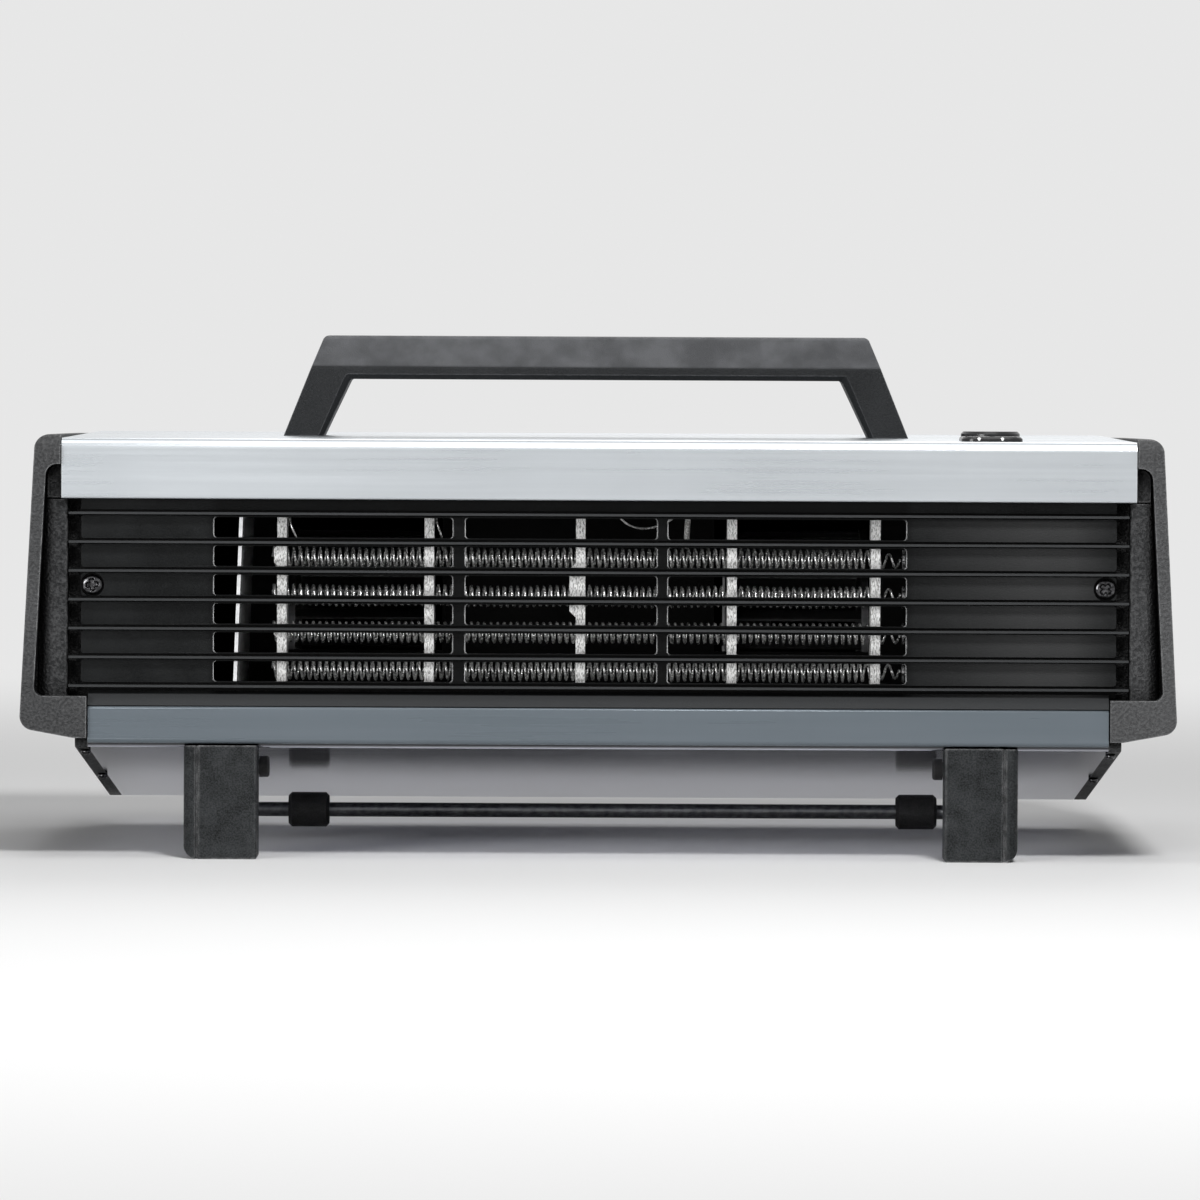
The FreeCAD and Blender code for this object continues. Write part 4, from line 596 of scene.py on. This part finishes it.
def pip(centre, radius):
    """Stud like a flattened ball: rings of sin(t) times the radius at cos(t) of it, half as deep along Y."""
    t = np.linspace(PIP_POLE, math.pi - PIP_POLE, 14)[:, None]
    turn = np.linspace(0.0, 2 * math.pi, 24, endpoint=False)[None, :]
    ball = np.broadcast_arrays(np.sin(t) * np.cos(turn), PIP_FLATTEN * np.cos(t), np.sin(t) * np.sin(turn))
    return np.array(centre) + radius * np.stack(ball, -1)


pip_white = stained_finish("pip_white", dull=(0.70, 0.70, 0.69), bright=(0.82, 0.82, 0.81), rough=(0.3, 0.45),
                           scale=900.0, constants={"Specular IOR Level": 0.4})
bezel_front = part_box("switch_bezel")[0][1]
pips = skin("switch_pips", [pip((x, bezel_front + PIP_SINK, PIP_Z), PIP_RADIUS) for x in PIP_X])
pips.data.materials.append(pip_white)
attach(pips, "case")


# Handle: a charcoal moulding with a fine grain, shaped as a trapezoid round one wide finger gap.
# It is screwed on from inside the cover. Its edges are painted pale as wear and highlights, and its upper
# faces as light from above.
handle_charcoal, *_ = moulded_finish(
    "handle_charcoal", dark=(0.006, 0.0066, 0.0072), light=(0.019, 0.020, 0.0213), edge=(0.140, 0.143, 0.151),
    edge_wear_and_light=(0.0007, 0.5), rough=(0.38, 0.54), grain=2400.0, depth=0.00012, blotch=18.0, bleach_and_top_light=0.75,
    constants={"Specular IOR Level": 0.12})
dress(handle_charcoal, "handle")
soften(0.0008, "handle")


# Screws: steel pan heads with a cross recess, blackened and each turned to its own angle.
# They hold the grilles, the cover, the handle, the feet and the ends of the pan.
HEAD_HEIGHT = 0.0019
DOME_FOOT, DOME_RISE = 0.55, 0.45
FLUTE_HALF, FLUTE_TOP, FLUTE_SLOPE = 0.19, 1.45, 0.6
RECESS_REACH, RECESS_DEPTH = 0.68, 0.75
FIRST_TURN, NEXT_TURN = 0.5, 0.7
SLANT = [0.31, 0.52, 0.79]
LARGE_SCREW = {"head_radius": 0.0035, "shank_radius": 0.0015, "length": 0.01}
SMALL_SCREW = {"head_radius": 0.0017, "shank_radius": 0.001, "length": 0.006}
FRONT, REAR, DOWN, PAN_FLOOR = (0, -1, 0), (0, 1, 0), (0, 0, -1), (0, -0.13, -1)
HANDLE_X = -0.0013
screw_steel = stained_finish("blackened_screw", dull=(0.02, 0.02, 0.021), bright=(0.11, 0.11, 0.114),
                             rough=(0.12, 0.24), scale=900.0, constants={"Metallic": 1.0})


def pan_head(seat, outward, head_radius, shank_radius, length, turn):
    """Screw turned about its axis: a profile of (radius, height) from the tip to the crown, carried round the
    axis, with four flutes that meet in the middle sunk into the crown."""
    crown = np.linspace(1.0, 0.0, 16)[:-1]
    dome = HEAD_HEIGHT * (DOME_FOOT + DOME_RISE * np.sqrt(1 - (0.98 * crown) ** 2))
    shank = [shank_radius * 0.4, shank_radius, shank_radius, head_radius]
    radius = np.concatenate([shank, head_radius * crown, [head_radius * 0.02]])[:, None]
    height = np.concatenate([[-length, -length + shank_radius, 0.0, 0.0], dome, [HEAD_HEIGHT]])[:, None]
    around = np.linspace(0.0, 2 * math.pi, 72, endpoint=False)[None, :] + turn
    u, v = radius * np.cos(around - turn), radius * np.sin(around - turn)
    half = FLUTE_HALF * head_radius
    flute = np.minimum(np.abs(u), np.abs(v))
    within_flute = np.clip((FLUTE_TOP * half - flute) / (FLUTE_SLOPE * half), 0, 1)
    within_cross = np.clip((RECESS_REACH * head_radius - radius) / half, 0, 1)
    height = height - np.where(height > 0, RECESS_DEPTH * HEAD_HEIGHT * (within_flute * within_cross), 0.0)
    side = np.cross(outward, SLANT)
    side = side / np.linalg.norm(side)
    up = np.cross(outward, side)
    return (seat + radius[..., None] * (np.cos(around)[..., None] * side + np.sin(around)[..., None] * up)
            + height[..., None] * outward)


def screws(group, seats, outward, sizes):
    """Set of like screws in place of the plain ones, each turned further than the one before."""
    outward = np.array(outward) / np.linalg.norm(outward)
    heads = [pan_head(np.array(seat), outward, turn=FIRST_TURN + NEXT_TURN * i, **sizes)
             for i, seat in enumerate(seats)]
    piece = skin(f"{group}_cross_head", heads)
    piece.data.materials.append(screw_steel)
    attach(piece, "case")
    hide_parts(group)


screws("grille_screws", [(x, -0.1108, 0.095) for x in (-0.176, 0.176)], FRONT, LARGE_SCREW)
screws("rear_grille_screws", [(x, 0.1108, 0.095) for x in (-0.176, 0.176)], REAR, LARGE_SCREW)
screws("cover_screws", [(x, 0.118, 0.1355) for x in (-0.18195, 0.18195)], REAR, LARGE_SCREW)
screws("pan_edge_screws",
       [(x, y, z) for x in (-0.17885, 0.17885) for y, z in ((-0.098, 0.03704), (0.006, 0.02352))],
       PAN_FLOOR, SMALL_SCREW)
screws("handle_screws", [(HANDLE_X + x, y, 0.1452) for x in (-0.1046, 0.1046) for y in (-0.013, 0.003)],
       DOWN, LARGE_SCREW)
screws("front_foot_screws", [(x, -0.107, 0.03473) for x in (-0.1376, 0.1396)], DOWN, LARGE_SCREW)
screws("rear_foot_screws", [(x, 0.092, 0.005) for x in (-0.141, 0.141)], DOWN, LARGE_SCREW)


# Floor and light: a pale floor that keeps the heater's shadow and fades into a plain pale background,
# under a small key light, a low fill, a top light and a rear light.
BACKGROUND = (0.80, 0.80, 0.80)
FLOOR_HALF = 40.0
FADE_START, FADE_END = 0.35, 1.6
SOFT_LIGHT = 0.12
GRILLE_MIDDLE = (0.0, -0.1, 0.08)


def seen_directly(tree):
    """1 for rays that come from the camera, a reflection or a refraction, otherwise 0."""
    path = tree.nodes.new("ShaderNodeLightPath").outputs
    either = math_node(tree, "MAXIMUM", path["Is Camera Ray"], path["Is Glossy Ray"])
    return math_node(tree, "MAXIMUM", either, path["Is Transmission Ray"])


floor_mesh = bpy.data.meshes.new("floor")
floor_mesh.from_pydata([(-FLOOR_HALF, -FLOOR_HALF, 0), (FLOOR_HALF, -FLOOR_HALF, 0),
                        (FLOOR_HALF, FLOOR_HALF, 0), (-FLOOR_HALF, FLOOR_HALF, 0)], [], [(0, 1, 2, 3)])
floor = bpy.data.objects.new("floor", floor_mesh)
bpy.context.scene.collection.objects.link(floor)
floor_finish, tree, shader = new_finish("pale_floor", {"Base Color": (0.82, 0.82, 0.82, 1), "Roughness": 0.9,
                                                       "Specular IOR Level": 0.1})
distance = add_node(tree, "ShaderNodeVectorMath", {0: object_place(tree)}, operation="LENGTH")
far = add_node(tree, "ShaderNodeMapRange",
               {"Value": distance.outputs["Value"], "From Min": FADE_START, "From Max": FADE_END},
               interpolation_type="SMOOTHSTEP").outputs[0]
glow = add_node(tree, "ShaderNodeEmission", {"Color": (*BACKGROUND, 1.0), "Strength": 1.0})
blend_out = add_node(tree, "ShaderNodeMixShader",
                     {0: times(tree, far, seen_directly(tree)), 1: shader.outputs[0], 2: glow.outputs[0]})
tree.links.new(blend_out.outputs[0], tree.nodes["Material Output"].inputs["Surface"])
floor_mesh.materials.append(floor_finish)

world = bpy.data.worlds.new("studio")
bpy.context.scene.world = world
world.use_nodes = True
tree = world.node_tree
tree.nodes.clear()
soft_light = add_node(tree, "ShaderNodeBackground", {"Color": (1, 1, 1, 1), "Strength": SOFT_LIGHT})
backdrop = add_node(tree, "ShaderNodeBackground", {"Color": (*BACKGROUND, 1), "Strength": 1.0})
chosen = add_node(tree, "ShaderNodeMixShader",
                  {0: seen_directly(tree), 1: soft_light.outputs[0], 2: backdrop.outputs[0]})
add_node(tree, "ShaderNodeOutputWorld", {"Surface": chosen.outputs[0]})


def softbox(name, place, aim, size, power):
    """Square soft light at a place, turned to the point that it lights."""
    lamp = bpy.data.lights.new(name, "AREA")
    lamp.shape = "SQUARE"
    lamp.size = size
    lamp.energy = power
    light = bpy.data.objects.new(name, lamp)
    bpy.context.scene.collection.objects.link(light)
    light.location = place
    light.rotation_euler = (Vector(aim) - Vector(place)).to_track_quat("-Z", "Y").to_euler()


softbox("front_softbox", place=(0.35, -1.45, 1.25), aim=GRILLE_MIDDLE, size=0.35, power=24.0)
softbox("fill_softbox", place=(-1.3, -1.9, 0.35), aim=GRILLE_MIDDLE, size=0.8, power=26.0)
softbox("top_softbox", place=(0.0, -0.5, 1.9), aim=(0.0, 0.0, 0.1), size=1.2, power=8.0)
softbox("rear_softbox", place=(0.3, 1.8, 1.5), aim=(0.0, 0.1, 0.0), size=1.2, power=11.0)


# Camera: level with the handle's top, three metres in front of the grille, with a long lens.
# It looks slightly down and leans by a quarter of a degree, as the photograph does.
CAMERA_PLACE = (0.0, -3.12, 0.180)
AIM_HEIGHT = 0.0907
AIM_DISTANCE = 3.0
LEAN = math.radians(-0.27)
camera_data = bpy.data.cameras.new("camera")
camera_data.sensor_width = 36.0
camera_data.lens = 259.9
camera_data.clip_end = 200.0
camera = bpy.data.objects.new("camera", camera_data)
bpy.context.scene.collection.objects.link(camera)
camera.location = CAMERA_PLACE
look_down = math.atan2(CAMERA_PLACE[2] - AIM_HEIGHT, AIM_DISTANCE)
camera.rotation_euler = (math.radians(90.0) - look_down, LEAN, 0.0)
bpy.context.scene.camera = camera
bpy.context.scene.view_settings.view_transform = "Standard"
